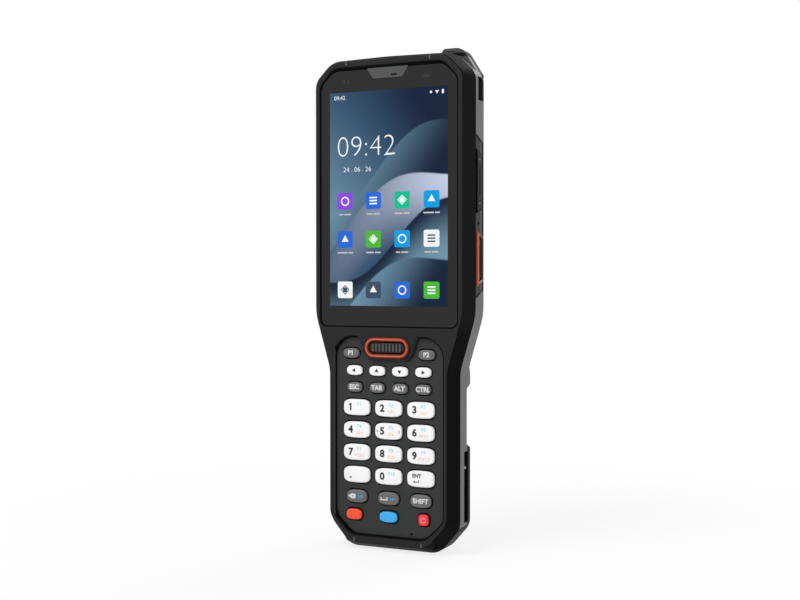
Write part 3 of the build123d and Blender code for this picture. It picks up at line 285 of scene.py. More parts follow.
class StageLook(bpy.types.PropertyGroup):
    """Floor, lamps and camera"""
    floor: shade("Floor", "Pale floor", 0xf7f7f7)
    ambient: number("Ambient", "Level of the surroundings on dull surfaces", 0.55)
    lamp_size: length("Lamp size", "Width of the lamps", 0.5)
    key_power: number("Key lamp", "Power of the lamp in front, in watts", 6.8)
    key_place: point("Key lamp place", "Middle of the lamp in front", (-0.35, -0.70, 0.95))
    side_power: number("Side lamp", "Power of the lamp behind on the right, in watts", 3.0)
    side_place: point("Side lamp place", "Middle of the lamp behind", (0.30, 0.80, 0.85))
    lens: number("Lens", "Focal length in millimetres", 52.95)
    sensor: number("Sensor", "Width of the camera's sensor in millimetres", 36)
    camera_place: point("Camera place", "Where the camera stands", (0.20105, -0.44230, 0.11040))
    camera_turn: angle("Camera turn", "The camera looks this far to the left of +Y", 24.4628)
    camera_tilt: angle("Camera tilt", "The camera looks down by this angle", 1.001)


# ---- shader helpers -------------------------------------------------------------------

class Value:
    """One output of a shader node. Arithmetic on it adds Math nodes to its tree."""

    def __init__(self, tree, socket):
        self.tree, self.socket = tree, socket

    def math(self, operation, first, second=0.0):
        made = self.tree.node("ShaderNodeMath", {"operation": operation}, {0: first, 1: second})
        return made["Value"]

    def __add__(self, other):
        return self.math("ADD", self, other)

    def __sub__(self, other):
        return self.math("SUBTRACT", self, other)

    def __mul__(self, other):
        return self.math("MULTIPLY", self, other)

    def __truediv__(self, other):
        return self.math("DIVIDE", self, other)

    def __radd__(self, other):
        return self.math("ADD", other, self)

    def __rsub__(self, other):
        return self.math("SUBTRACT", other, self)

    def __rmul__(self, other):
        return self.math("MULTIPLY", other, self)

    def sine(self):
        return self.math("SINE", self)

    def absolute(self):
        return self.math("ABSOLUTE", self)

    def larger(self, other):
        return self.math("MAXIMUM", self, other)

    def root(self):
        return self.math("SQRT", self)

    def step(self, start, end):
        """0 below start and 1 above end, eased in between."""
        made = self.tree.node("ShaderNodeMapRange", {"interpolation_type": "SMOOTHSTEP"},
                              {"Value": self, "From Min": start, "From Max": end})
        return made["Result"]


class Outputs:
    """A node's outputs by name, as values."""

    def __init__(self, tree, made):
        self.tree, self.made = tree, made

    def __getitem__(self, name):
        return Value(self.tree, self.made.outputs[name])


class Tree:
    """A shader tree that is being built, with one method that makes any node."""

    def __init__(self, owner):
        owner.use_nodes = True
        self.owner = owner
        self.nodes, self.links = owner.node_tree.nodes, owner.node_tree.links
        self.nodes.clear()

    def node(self, kind, settings=None, sockets=None):
        made = self.nodes.new(kind)
        for name, value in (settings or {}).items():
            setattr(made, name, value)
        for name, value in (sockets or {}).items():
            if isinstance(value, Value):
                self.links.new(value.socket, made.inputs[name])
            else:
                made.inputs[name].default_value = value
        return Outputs(self, made)

    def place(self):
        """Object coordinates, as a vector and as three values."""
        where = self.node("ShaderNodeTexCoord")["Object"]
        parts = self.node("ShaderNodeSeparateXYZ", None, {"Vector": where})
        return where, parts["X"], parts["Y"], parts["Z"]

    def blend(self, factor, first, second):
        """A colour between two colours."""
        made = self.node("ShaderNodeMix", {"data_type": "RGBA"}, {0: factor, 6: first, 7: second})
        return Value(self, made.made.outputs[2])

    def sideways(self):
        """1 on faces that look to the left or right, 0 on all others."""
        true = self.node("ShaderNodeNewGeometry")["True Normal"]
        parts = self.node("ShaderNodeSeparateXYZ", None, {"Vector": true})
        slanting, square = 0.72, 0.95          # shares of the normal that point sideways
        return parts["X"].absolute().step(slanting, square)

    def noise(self, where, size, detail=2.0):
        made = self.node("ShaderNodeTexNoise", None,
                         {"Vector": where, "Scale": 1 / size, "Detail": detail})
        return made["Fac"]

    def rounded(self, radius):
        """The normal with the edges rounded off."""
        return self.node("ShaderNodeBevel", {"samples": 6}, {"Radius": radius})["Normal"]

    def lit(self, colour):
        """What a screen shows: light of its own under a smooth glass."""
        shader = self.node("ShaderNodeBsdfPrincipled", None, {
            "Base Color": BLACK, "Roughness": 0.15, "Specular IOR Level": 0.02,
            "Emission Color": colour, "Emission Strength": 1.0})
        return self.finish(shader["BSDF"])

    def finish(self, shader, output="ShaderNodeOutputMaterial"):
        self.node(output, None, {"Surface": shader})
        return self.owner


def scaled(colour, factor):
    """A paler or darker colour."""
    return tuple(min(1.0, channel * factor) for channel in colour[:3]) + (1.0,)


def moulded(name, colour, roughness=0.5, specular=0.5, grain=GRAIN, depth=GRAIN_DEPTH,
            edge=EDGE, zones=None, rub=0.25):
    """Moulded plastic: fine grain, slightly uneven gloss, and rounded edges made paler by a
    painted highlight.

    zones is a function of the place. It gives sets of a mask, the colour under it, and
    whether the plastic is dull there, so that it hardly mirrors what is around it.
    """
    cloud_size, cloud_gloss, grain_gloss, highlight_paleness = 0.018, 0.12, 0.1, 1.7
    tree = Tree(bpy.data.materials.new(name))
    where, x, y, z = tree.place()
    fine = tree.noise(where, grain, 3.0)
    cloud = tree.noise(where, cloud_size)
    corner = tree.rounded(edge)
    true = tree.node("ShaderNodeNewGeometry")["True Normal"]
    along = tree.node("ShaderNodeVectorMath", {"operation": "DOT_PRODUCT"},
                      {0: corner, 1: true})["Value"]
    # Painted highlight: the rounded edges are made paler, as if they caught the light.
    edge_highlight = (1.0 - along).step(0.02, 0.4)
    body = tree.blend(cloud, scaled(colour, 0.9), scaled(colour, 1.1))
    dull = None
    for mask, other, is_dull in zones(x, y, z) if zones else ():
        body = tree.blend(mask, body, other)
        if is_dull:
            dull = mask if dull is None else dull.larger(mask)
    body = tree.blend(edge_highlight * rub, body, scaled(colour, highlight_paleness))
    bump = tree.node("ShaderNodeBump", None,
                     {"Strength": 0.6, "Distance": depth, "Height": fine, "Normal": corner})
    gloss = roughness + (cloud - 0.5) * cloud_gloss + (fine - 0.5) * grain_gloss
    sockets = {"Base Color": body, "Roughness": gloss, "Normal": bump["Normal"]}
    shader = tree.node("ShaderNodeBsdfPrincipled", None,
                       {**sockets, "Specular IOR Level": specular})["BSDF"]
    if dull is not None:
        matt = tree.node("ShaderNodeBsdfPrincipled", None,
                         {**sockets, "Specular IOR Level": DULL_SPECULAR})["BSDF"]
        shader = tree.node("ShaderNodeMixShader", None, {0: dull, 1: shader, 2: matt})["Shader"]
    return tree.finish(shader)


def polished(name, colour, roughness=0.06, metallic=0.0, specular=0.5):
    """Glass or plated metal: smooth, with a faint unevenness of its gloss."""
    smear_size, scratch_size, smear_gloss, scratch_gloss = 0.012, 0.0009, 0.03, 0.02
    tree = Tree(bpy.data.materials.new(name))
    where = tree.place()[0]
    smear = tree.noise(where, smear_size)
    scratches = tree.noise(where, scratch_size, 4.0)
    shader = tree.node("ShaderNodeBsdfPrincipled", None, {
        "Base Color": tree.blend(smear, scaled(colour, 0.93), scaled(colour, 1.07)),
        "Roughness": roughness + smear * smear_gloss + scratches * scratch_gloss,
        "Metallic": metallic, "Specular IOR Level": specular})
    return tree.finish(shader["BSDF"])


def glowing(name, colour):
    """An ink of the screen."""
    return Tree(bpy.data.materials.new(name)).lit(colour)


# ---- modelling helpers ----------------------------------------------------------------

def only(*pieces):
    """Leave edit mode and select these pieces alone, the first of them active."""
    if bpy.context.mode != "OBJECT":
        bpy.ops.object.mode_set(mode="OBJECT")
    bpy.ops.object.select_all(action="DESELECT")
    for piece in pieces:
        piece.select_set(True)
    if pieces:
        bpy.context.view_layer.objects.active = pieces[0]


def pick(piece, kind, wanted):
    """In edit mode, select the faces, edges or corners that are wanted, and nothing else."""
    if bpy.context.mode != "EDIT_MESH":
        bpy.ops.object.mode_set(mode="EDIT")
    bpy.ops.mesh.select_mode(type=kind)
    bpy.ops.mesh.select_all(action="DESELECT")
    mesh = bmesh.from_edit_mesh(piece.data)
    for element in {"FACE": mesh.faces, "EDGE": mesh.edges, "VERT": mesh.verts}[kind]:
        if wanted(element):
            element.select_set(True)
    mesh.select_flush_mode()
    bmesh.update_edit_mesh(piece.data)


def applied():
    """The active piece, with its place, turn and scale put into its mesh."""
    bpy.ops.object.transform_apply(location=True, rotation=True, scale=True)
    return bpy.context.object


def copied(pattern, shift):
    """A copy of a piece, with its own mesh, moved by a vector."""
    piece = pattern.copy()
    piece.data = pattern.data.copy()
    bpy.context.collection.objects.link(piece)
    piece.data.transform(Matrix.Translation(shift))
    return piece


def settle(piece, name, material, body=HOUSING):
    """Name a finished piece, put its place into its mesh, and let it ride on a body."""
    only(piece)
    applied()
    piece.name = piece.data.name = name
    if material is not None:
        piece.data.materials.clear()
        piece.data.materials.append(material)
    bpy.ops.object.shade_smooth_by_angle(angle=SMOOTH_ANGLE)
    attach(piece, body)
    return piece


def dress(material, *nodes):
    """Give parts of the construction model a finish."""
    for name in nodes:
        mesh = frame["nodes"][name].data
        mesh.materials.clear()
        mesh.materials.append(material)


def tile(width, height, place, corner=0.0, facing=FACING_DISPLAY):
    """A flat rectangle with rounded corners."""
    only()
    bpy.ops.mesh.primitive_plane_add(size=1, location=place, rotation=facing)
    piece = bpy.context.object
    piece.scale = (width, height, 1)
    bpy.ops.object.transform_apply(location=False, rotation=False, scale=True)
    if corner:
        bpy.ops.object.mode_set(mode="EDIT")
        bpy.ops.mesh.select_all(action="SELECT")
        bpy.ops.mesh.bevel(offset=corner, segments=5, affect="VERTICES")
    only(piece)
    return applied()


def stroke(long, wide, place, degrees):
    """A flat bar that faces the viewer, turned about its middle."""
    piece = tile(long, wide, (0, 0, 0))
    turn = Matrix.Rotation(math.radians(degrees), 4, "Y")
    piece.data.transform(Matrix.Translation(place) @ turn)
    return piece


def disc(radius, place, sides=24, turn=0.0):
    """A flat disc, or with few sides a polygon, that faces the viewer."""
    only()
    bpy.ops.mesh.primitive_circle_add(vertices=sides, radius=radius, fill_type="NGON",
                                      location=place, rotation=(math.radians(90), turn, 0))
    return applied()


def ring(radius, width, place, sides=28):
    """A flat ring that faces the viewer."""
    piece = disc(radius, place, sides)
    pick(piece, "FACE", lambda face: True)
    bpy.ops.mesh.inset(thickness=width)
    bpy.ops.mesh.delete(type="FACE")
    only(piece)
    return piece


def turned(profile, place, sides=32):
    """A round piece that faces back, from rings given as a radius and a height over place."""
    only()
    bpy.ops.mesh.primitive_circle_add(vertices=sides, radius=profile[0][0], fill_type="NGON",
                                      location=place, rotation=FACING_BACK)
    piece = applied()
    pick(piece, "FACE", lambda face: True)
    bpy.ops.transform.translate(value=(0, profile[0][1], 0))
    for (before, low), (radius, high) in zip(profile, profile[1:]):
        bpy.ops.mesh.extrude_region_move(TRANSFORM_OT_translate={"value": (0, high - low, 0)})
        share = radius / before
        bpy.ops.transform.resize(value=(share, 1, share), center_override=place)
    bpy.ops.mesh.select_all(action="SELECT")
    bpy.ops.mesh.normals_make_consistent(inside=False)
    only(piece)
    return piece


def lettering(text, size, place, weight=0.0):
    """Flat letters or digits that face the viewer, centred on a place."""
    only()
    bpy.ops.object.text_add(location=place, rotation=FACING_DISPLAY)
    word = bpy.context.object
    word.data.body = text
    word.data.size = size
    word.data.align_x, word.data.align_y = "CENTER", "CENTER"
    word.data.offset = weight
    word.data.resolution_u = 4
    bpy.ops.object.convert(target="MESH")
    return applied()


def inked(material, *pieces):
    """Give flat pieces one finish."""
    for piece in pieces:
        piece.data.materials.clear()
        piece.data.materials.append(material)
    return list(pieces)


def joined(pieces, name, body=HOUSING):
    """Join flat pieces, each with its own finish, into one."""
    only(*pieces)
    if len(pieces) > 1:
        bpy.ops.object.join()
    piece = bpy.context.object
    return settle(piece, name, None, body)


def divide(piece):
    """Cut a flat piece's faces finer, so that it can follow a curved one."""
    pick(piece, "FACE", lambda face: True)
    bpy.ops.mesh.quads_convert_to_tris()
    bpy.ops.mesh.subdivide(number_cuts=2)
    only(piece)


def laid_on(piece, target, lift):
    """Lay a flat piece on the face of another, lifted a little towards the viewer."""
    for corner in piece.data.vertices:
        start = Vector((corner.co.x, cad_low.y, corner.co.z))
        hit, place = target.ray_cast(start, Vector((0, 1, 0)))[:2]
        if hit:
            corner.co.y = place.y - lift


# ---- housings -------------------------------------------------------------------------

class TERMINAL_OT_housings(bpy.types.Operator):
    """Finish the shells, their trim and the seal"""
    bl_idname = "terminal.housings"
    bl_label = "Housings"

    def execute(self, context):
        look = context.scene.terminal_housing
        grain = {"grain": look.grain, "depth": look.grain_depth, "edge": look.edge}
        self.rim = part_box("front_housing")[0].y
        front = moulded("front_plastic", look.front, 0.5, 0.1, zones=self.front_zones, **grain)
        rear = moulded("rear_plastic", look.rear, 0.42, 1.0, zones=self.rear_zones, **grain)
        battery = moulded("battery_plastic", look.rear, 0.45, 0.5, **grain)
        seal = moulded("seal_rubber", look.seal, 0.7, 0.2, **grain)
        dress(front, "front_housing", "top_rim_insert", "foot_rim_insert")
        dress(rear, "rear_housing")
        dress(battery, "battery_pack")
        dress(seal, "housing_seal", "usb_cover")
        self.seams(look)
        return {"FINISHED"}

    def front_zones(self, x, y, z):
        """Painted shade: behind its face the rim is dark, on its slopes and the walls of its
        recesses, but some of it is less dark.

        Those are beside the display, on the left lip of the keypad's recess, which is painted
        light, and on the tongue that carries the front scan key.
        """
        look = bpy.context.scene.terminal_housing
        start = self.rim + look.flank_depth
        flank_shade = y.step(start, start + 2 * look.flank_depth)
        low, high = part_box("display_glass")
        soft = 0.004
        beside = z.step(low.z - soft, low.z + soft) * x.absolute().step(high.x, high.x + soft / 4)
        panel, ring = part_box("keypad_panel"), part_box("scan_key_ring")
        edge = 0.0003
        inside = z.step(panel[1].z + 3 * edge, panel[1].z + edge)
        side, end = panel[1].x + look.lip_side, self.rim + look.lip_depth
        lit_lip = (x.step(edge - panel[1].x, -panel[1].x) * x.step(-side - edge, -side)
               * z.step(panel[0].z, panel[0].z + soft) * inside * y.step(end + edge, end))
        reach, foot = ring[1].x + look.tongue_side, ring[0].z - look.tongue_foot
        tongue = x.absolute().step(reach + edge, reach) * z.step(foot - edge, foot) * inside
        # Painted shade on the slopes and recess walls, lighter beside the display and on the
        # tongue, and painted light on the lip.
        return [(flank_shade, look.flank_shade, True), (flank_shade * beside, look.flank_high_shade, True),
                (flank_shade * lit_lip, look.lit_lip, True), (flank_shade * tongue, look.tongue, True)]

    def rear_zones(self, x, y, z):
        """A dull front and back, dark bumpers with paler tips, side panels, and painted shade
        round the pinhole.
        """
        look = bpy.context.scene.terminal_housing
        soft, reach = 0.0002, x.absolute()
        wall, _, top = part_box("front_housing")[1]
        low = z.step(look.low_bumper + soft, look.low_bumper - soft)
        corner = look.high_bumper + wall
        high = (z + reach).step(corner - soft, corner + soft)
        behind = y.step(look.bumper_front - soft, look.bumper_front + soft)
        foot = z.step(look.foot_band + soft, look.foot_band - soft)
        head = z.step(top - look.head_band - soft, top - look.head_band + soft)
        bumper = (low.larger(high) * behind).larger(foot).larger(head)
        tip = z.step(top, top + soft) * y.step(look.tip_back, 0.0)
        rings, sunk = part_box("side_scan_rings"), wall - look.panel_sunk
        start = rings[0].z - look.panel_low
        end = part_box("volume_key")[1].z + look.panel_high
        panel = (reach.step(sunk - soft / 2, sunk + soft / 2) * reach.step(wall, wall - soft)
                 * y.step(look.panel_back, look.panel_back - soft)
                 * z.step(start - soft, start) * z.step(end + soft, end))
        flat = 1.0 - x.tree.sideways()
        back, up = y - (rings[0].y + rings[1].y) / 2, z - look.reset_height
        # Painted shade round the reset pinhole.
        pinhole = ((back * back + up * up).root().step(look.pinhole_shade_radius, look.pinhole_shade_radius - soft)
                   * x.step(wall / 2, wall / 2 + soft))
        return [(flat * look.rear_dull, look.rear, True), (bumper, look.bumper, True),
                (tip, look.tip, True), (panel * look.panel_share, look.panel, True),
                (pinhole, look.bumper, True)]

    def seams(self, look):
        """Painted highlights: pale lines in the rim where the trim inserts end."""
        pale = moulded("trim_seam", look.seam, 0.6, 0.2)
        for name in ("top_rim_insert", "foot_rim_insert"):
            low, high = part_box(name)
            heights = [corner.co.z for corner in frame["nodes"][name].data.vertices
                       if corner.co.y < low.y + look.seam_lift]
            start, end = min(heights), max(heights)
            place = Vector((0, low.y - look.seam_lift, (start + end) / 2))
            lines = [tile(look.seam_width, end - start, place + Vector((side, 0, 0)))
                     for side in (low.x, high.x)]
            joined(inked(pale, *lines), name.replace("insert", "seams"))


# ---- display --------------------------------------------------------------------------

class TERMINAL_OT_glass(bpy.types.Operator):
    """Finish the cover glass, the earpiece and the sensor windows in the border"""
    bl_idname = "terminal.glass"
    bl_label = "Cover glass and earpiece"

    def execute(self, context):
        look = context.scene.terminal_display
        dress(polished("display_glass", look.border, 0.12, specular=0.35), "display_glass")
        dress(polished("display_stack", look.border), "display_module")
        dress(moulded("earpiece_plastic", look.earpiece, 0.45, 0.4), "earpiece_grille")
        dress(polished("receiver_metal", look.border, 0.3, 0.6), "earpiece_receiver")
        low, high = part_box("display_glass")
        face, level = low.y - look.layer, high.z - look.window_drop
        window = polished("sensor_window", scaled(look.border, 2.2), 0.1)
        windows = [        # place across, width, height and rounding of each window
            (-0.0195, 0.0008, 0.0016, 0.0003),
            (-0.0177, 0.0008, 0.0016, 0.0003),
            (0.0165, 0.0034, 0.0013, 0.0005),
        ]
        marks = [tile(width, height, (across, face, level), corner)
                 for across, width, height, corner in windows]
        joined(inked(window, *marks), "sensor_windows")
        return {"FINISHED"}


def screen_picture(look, middle):
    """Soft ribbons in slate, navy and a pale grey-blue, each shaded across its width.

    u and v run from -1 to 1 across and up the screen. first, second and third are signed
    distances from three wavy lines, and each ribbon begins or ends at one of them.
    """
    tree = Tree(bpy.data.materials.new("screen_picture"))
    where, across, _, along = tree.place()
    u = across / (look.screen_width / 2)
    v = (along - middle) / (look.screen_height / 2)
    rise = v - u * 0.35

    def wave(pitch, phase, height):
        return (u * pitch + phase).sine() * height

    first = rise - wave(2.4, 0.5, 0.16) - 0.31
    second = 0.0 - rise + wave(1.9, 1.6, 0.22)
    third = 0.0 - rise + wave(2.8, -0.4, 0.12) - 0.44
    ground = tree.blend((v + u * 0.6).step(-1.1, 0.7), look.teal, look.sky)
    ground = tree.blend((v + u).step(0.1, 1.5), ground, look.navy)
    deep = tree.blend((u - v).step(-1.2, 0.6), look.teal, look.navy)
    pale = tree.blend((u * 0.8 - v * 0.5).step(-0.9, 0.9), look.sky, look.pale)
    pale = tree.blend(second.step(0.10, 0.75), pale, look.sky)
    ribbons = [        # its line, the start and end of its edge beyond the line, its colour
        (first, -0.01, 0.01, ground),
        (second, 0.065, 0.085, pale),
        (third, -0.012, 0.012, tree.blend(third.step(0.0, 0.5), look.navy, look.teal)),
        (second, 0.84, 0.86, tree.blend((u - v).step(0.2, 1.6), look.teal, look.navy)),
    ]
    picture = deep
    for line, start, end, colour in ribbons:
        picture = tree.blend(line.step(start, end), picture, colour)
    speck_size, speck_strength = 0.0004, 0.03
    specks = tree.noise(where, speck_size) * speck_strength
    return tree.lit(tree.blend(specks, picture, look.pale))


class TERMINAL_OT_screen(bpy.types.Operator):
    """Make the lit screen with a plain picture, a clock and blank application tiles"""
    bl_idname = "terminal.screen"
    bl_label = "Screen"

    def execute(self, context):
        look = context.scene.terminal_display
        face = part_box("display_glass")[0].y
        depth = [face - layer * look.layer for layer in range(1, 4)]
        middle = look.screen_middle
        top, right = middle + look.screen_height / 2, look.screen_width / 2
        sheet = tile(look.screen_width, look.screen_height, (0, depth[0], middle))
        settle(sheet, "screen", screen_picture(look, middle))

        ink = glowing("screen_ink", look.ink)

        def written(text, size, place, weight=0.0):
            across, down = place
            return lettering(text, size, (across - right, depth[1], top - down), weight)

        thin, lean = -0.00028, -0.00002        # how far the letters are made thinner
        time, battery, signal, alarm = 0.0045, right - 0.0021, right - 0.0046, right - 0.0072
        status, wide = top - look.status_drop, 0.0009
        writing = [
            written(look.clock, look.clock_size, look.clock_place, thin),
            written(look.date, look.date_size, look.date_place, lean),
            written(look.clock, look.status_size, (time, look.status_drop)),
            disc(wide, (signal, depth[1], status + 0.0001), 3, math.radians(180)),
            tile(wide, 0.0016, (battery, depth[1], status), 0.0002),
            disc(0.0005, (alarm, depth[1], status)),
        ]
        joined(inked(ink, *writing), "screen_writing")
        self.tiles(look, depth, top, ink)
        return {"FINISHED"}

    def tiles(self, look, depth, top, ink):
        """Application tiles with plain marks, in two rows and a dock, and name bars."""
        cyan, white, violet, slate, green, blue, teal = [
            glowing(f"tile_{name}", paint(code)) for name, code in (
                ("cyan", 0x159fe2), ("white", 0xf2f5f6), ("violet", 0x8d4be0),
                ("slate", 0x3f5268), ("green", 0x4fb83a), ("blue", 0x2f6ad8), ("teal", 0x1fbf93))]
        name_ink = glowing("screen_name_ink", scaled(look.ink, 0.6))
        size = look.tile_size
        columns = [(step - 1.5) * look.tile_pitch for step in range(4)]
        rows = [        # height, finish and mark of each tile, and whether the tiles have names
            (top - 0.0444, [(violet, 0), (blue, 1), (teal, 2), (cyan, 3)], True),
            (top - 0.0600, [(blue, 3), (green, 2), (cyan, 0), (white, 1)], True),
            (top - 0.0806, [(white, 2), (slate, 3), (blue, 0), (green, 1)], False),
        ]
        squares, marks, names = [], [], []
        for height, kinds, named in rows:
            for across, (finish, mark) in zip(columns, kinds):
                squares += inked(finish, tile(size, size, (across, depth[1], height), 0.0008))
                marks += inked(slate if finish is white else ink,
                               *self.mark(mark, across, depth[2], height, size))
                if named:
                    bars = self.name_bars(across, depth[1], height - look.name_drop, size, mark)
                    names += inked(name_ink, *bars)
        joined(squares, "screen_tiles")
        joined(marks, "screen_tile_marks")
        joined(names, "screen_name_bars")

    def name_bars(self, across, depth, height, size, kind):
        """Two short bars in place of a name, split at a place that differs with the mark."""
        whole, gap, thick = size * (0.8 + 0.08 * kind), 0.0004, 0.0006
        first = whole * (0.35 + 0.1 * kind)
        second = whole - first - gap
        left = across - whole / 2
        return [tile(width, thick, (start + width / 2, depth, height), thick / 3)
                for start, width in ((left, first), (left + first + gap, second))]

    def mark(self, kind, across, depth, height, size):
        """One of four plain marks: a ring, three bars, a disc in a frame, a triangle."""
        place = (across, depth, height)
        if kind == 0:
            return [ring(size * 0.28, size * 0.08, place)]
        if kind == 1:
            return [tile(size * 0.5, size * 0.09, (across, depth, height + step * size * 0.18))
                    for step in (-1, 0, 1)]
        if kind == 2:
            return [disc(size * 0.16, place), ring(size * 0.3, size * 0.05, place, 4)]
        return [disc(size * 0.27, place, 3)]


# ---- keypad ---------------------------------------------------------------------------

DIGITS = [f"key_{digit}" for digit in range(10)]
# Each kind: its keys, its colour, and how full its outline is, from 2, an ellipse, upwards.
KEY_KINDS = {
    "digit": (DIGITS + ["key_dot", "key_enter"], "white", 3.6),
    "arrow": (["key_left", "key_up", "key_down", "key_right"], "white", 2.8),
    "mode": (["key_esc", "key_tab", "key_alt", "key_ctrl"], "grey", 2.8),
    "program": (["key_p1", "key_p2"], "grey", 2.8),
    "shift": (["key_backspace", "key_space", "key_shift"], "grey", 2.9),
    "orange": (["key_orange"], "orange", 2.9),
    "blue": (["key_blue"], "blue", 2.9),
    "power": (["key_power"], "red", 3.6),
}


class TERMINAL_OT_keys(bpy.types.Operator):
    """Model the pillow-shaped keys, each kind once, and copy them to their places"""
    bl_idname = "terminal.keys"
    bl_label = "Keys"

    def execute(self, context):
        look = context.scene.terminal_keypad
        dress(moulded("panel_plastic", look.panel, 0.55, 0.35, grain=0.0003, depth=0.00003,
                      edge=0.0001), "keypad_panel")
        self.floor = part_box("keypad_panel")[0].y
        coloured = ("orange", "blue", "red")
        finishes = {
            name: moulded(f"key_{name}", getattr(look, name), 0.4, 0.4, grain=0.0002,
                          depth=0.000004, edge=0.0001, rub=0.0,
                          zones=self.rim_shaded if name in coloured else self.zones)
            for name in ("white", "grey", *coloured)}
        for names, colour, fullness in KEY_KINDS.values():
            pattern = self.cap(look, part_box(names[0]), fullness)
            first = self.middle(names[0])
            for name in names:
                piece = copied(pattern, self.middle(name) - first)
                settle(piece, f"cap_{name[4:]}", finishes[colour], name)
                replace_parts(piece, name)
            bpy.data.objects.remove(pattern)
        return {"FINISHED"}

    def middle(self, name):
        """The middle of a node of the construction model."""
        low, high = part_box(name)
        return (low + high) / 2

    def zones(self, x, y, z):
        """Painted shade: a key darkens where it goes down into its opening."""
        gap, before, behind = bpy.context.scene.terminal_keypad.gap, 0.0003, 0.0002
        # Painted shade in the gap round the key.
        return [(y.step(self.floor - before, self.floor + behind), gap, True)]

    def rim_shaded(self, x, y, z):
        """Painted shade: a coloured key is also darker round its rounded edge."""
        look = bpy.context.scene.terminal_keypad
        start, end, strength = 0.05, 0.45, 0.6         # start and end are shares of the rounding
        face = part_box("key_orange")[0].y + look.crown
        edge = y.step(face + look.rounding * start, face + look.rounding * end)
        return [(edge * strength, look.gap, False), *self.zones(x, y, z)]

    def cap(self, look, box, fullness):
        """A flange, and on it a cap with an outline between an ellipse and a rectangle."""
        low, high = box
        middle, half = (low + high) / 2, (high - low) / 2
        only()
        bpy.ops.mesh.primitive_cylinder_add(
            vertices=look.sides, radius=1, depth=look.flange_depth, location=middle,
            rotation=FACING_DISPLAY)
        piece = applied()
        power = 2 / fullness
        flange_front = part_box("keypad_panel")[1].y + look.flange_gap
        for corner in piece.data.vertices:
            x, z = corner.co.x - middle.x, corner.co.z - middle.z
            front = corner.co.y < middle.y
            corner.co = (
                middle.x + math.copysign(abs(x) ** power, x) * half.x,
                flange_front if front else flange_front + look.flange_depth,
                middle.z + math.copysign(abs(z) ** power, z) * half.z)
        pick(piece, "FACE", lambda face: face.normal.y < -0.9)
        wall = flange_front - low.y - look.crown - look.rounding
        before = 0
        for inset, rise in self.profile(look, wall, min(half.x, half.z)):
            bpy.ops.mesh.extrude_region_move(TRANSFORM_OT_translate={"value": (0, -rise, 0)})
            share = [(reach - inset) / (reach - before) for reach in (half.x, half.z)]
            bpy.ops.transform.resize(value=(share[0], 1, share[1]), center_override=middle)
            before = inset
        only(piece)
        return piece

    def profile(self, look, wall, reach):
        """How far in, and how much further out, each ring of a cap lies."""
        def crown(share):
            return look.crown * (1 - (1 - share) ** 2)

        rings = [(look.flange, 0), (look.flange, wall)]
        steps = 6
        for step in range(1, steps + 1):
            start, end = (math.radians(90) * (step - back) / steps for back in (1, 0))
            rings.append((look.flange + look.rounding * (1 - math.cos(end)),
                          look.rounding * (math.sin(end) - math.sin(start))))
        edge = look.flange + look.rounding
        for step in range(1, steps):
            share = step / steps
            rings.append((edge + (reach - edge) * share, crown(share) - crown(share - 1 / steps)))
        return rings


DIGIT_SIZE, SECOND_SIZE, THIRD_SIZE = 0.0040, 0.0021, 0.0018
WORD_SIZE, SHIFT_SIZE = 0.0026, 0.0027
# Each legend: its ink, its text, its size, and its place from the key's middle, across and up.
LEGENDS = {name: [("black", name[4:], DIGIT_SIZE, -0.0026, 0.0)] for name in DIGITS}
for digit, name in enumerate(DIGITS[1:], 1):
    LEGENDS[name].append(("blue", f"F{digit}", SECOND_SIZE, 0.0013, 0.0014))
LEGENDS["key_0"].append(("blue", "F10", SECOND_SIZE, 0.0016, 0.0012))
for name, letters in zip(DIGITS[2:], ("ABC", "DEF", "GHI", "JKL", "MNO", "PQRS", "TUV", "WXYZ")):
    LEGENDS[name].append(("orange", letters, THIRD_SIZE, 0.0014, -0.0012))
LEGENDS["key_enter"] = [("black", "ENT", SECOND_SIZE, -0.0016, 0.0012)]
LEGENDS["key_shift"] = [("white", "SHIFT", SHIFT_SIZE, 0.0, 0.0)]
for word in ("ESC", "TAB", "ALT", "CTRL", "P1", "P2"):
    LEGENDS[f"key_{word.lower()}"] = [("white", word, WORD_SIZE, 0.0, 0.0)]

PEN = 0.0003                                   # width of the strokes of the signs


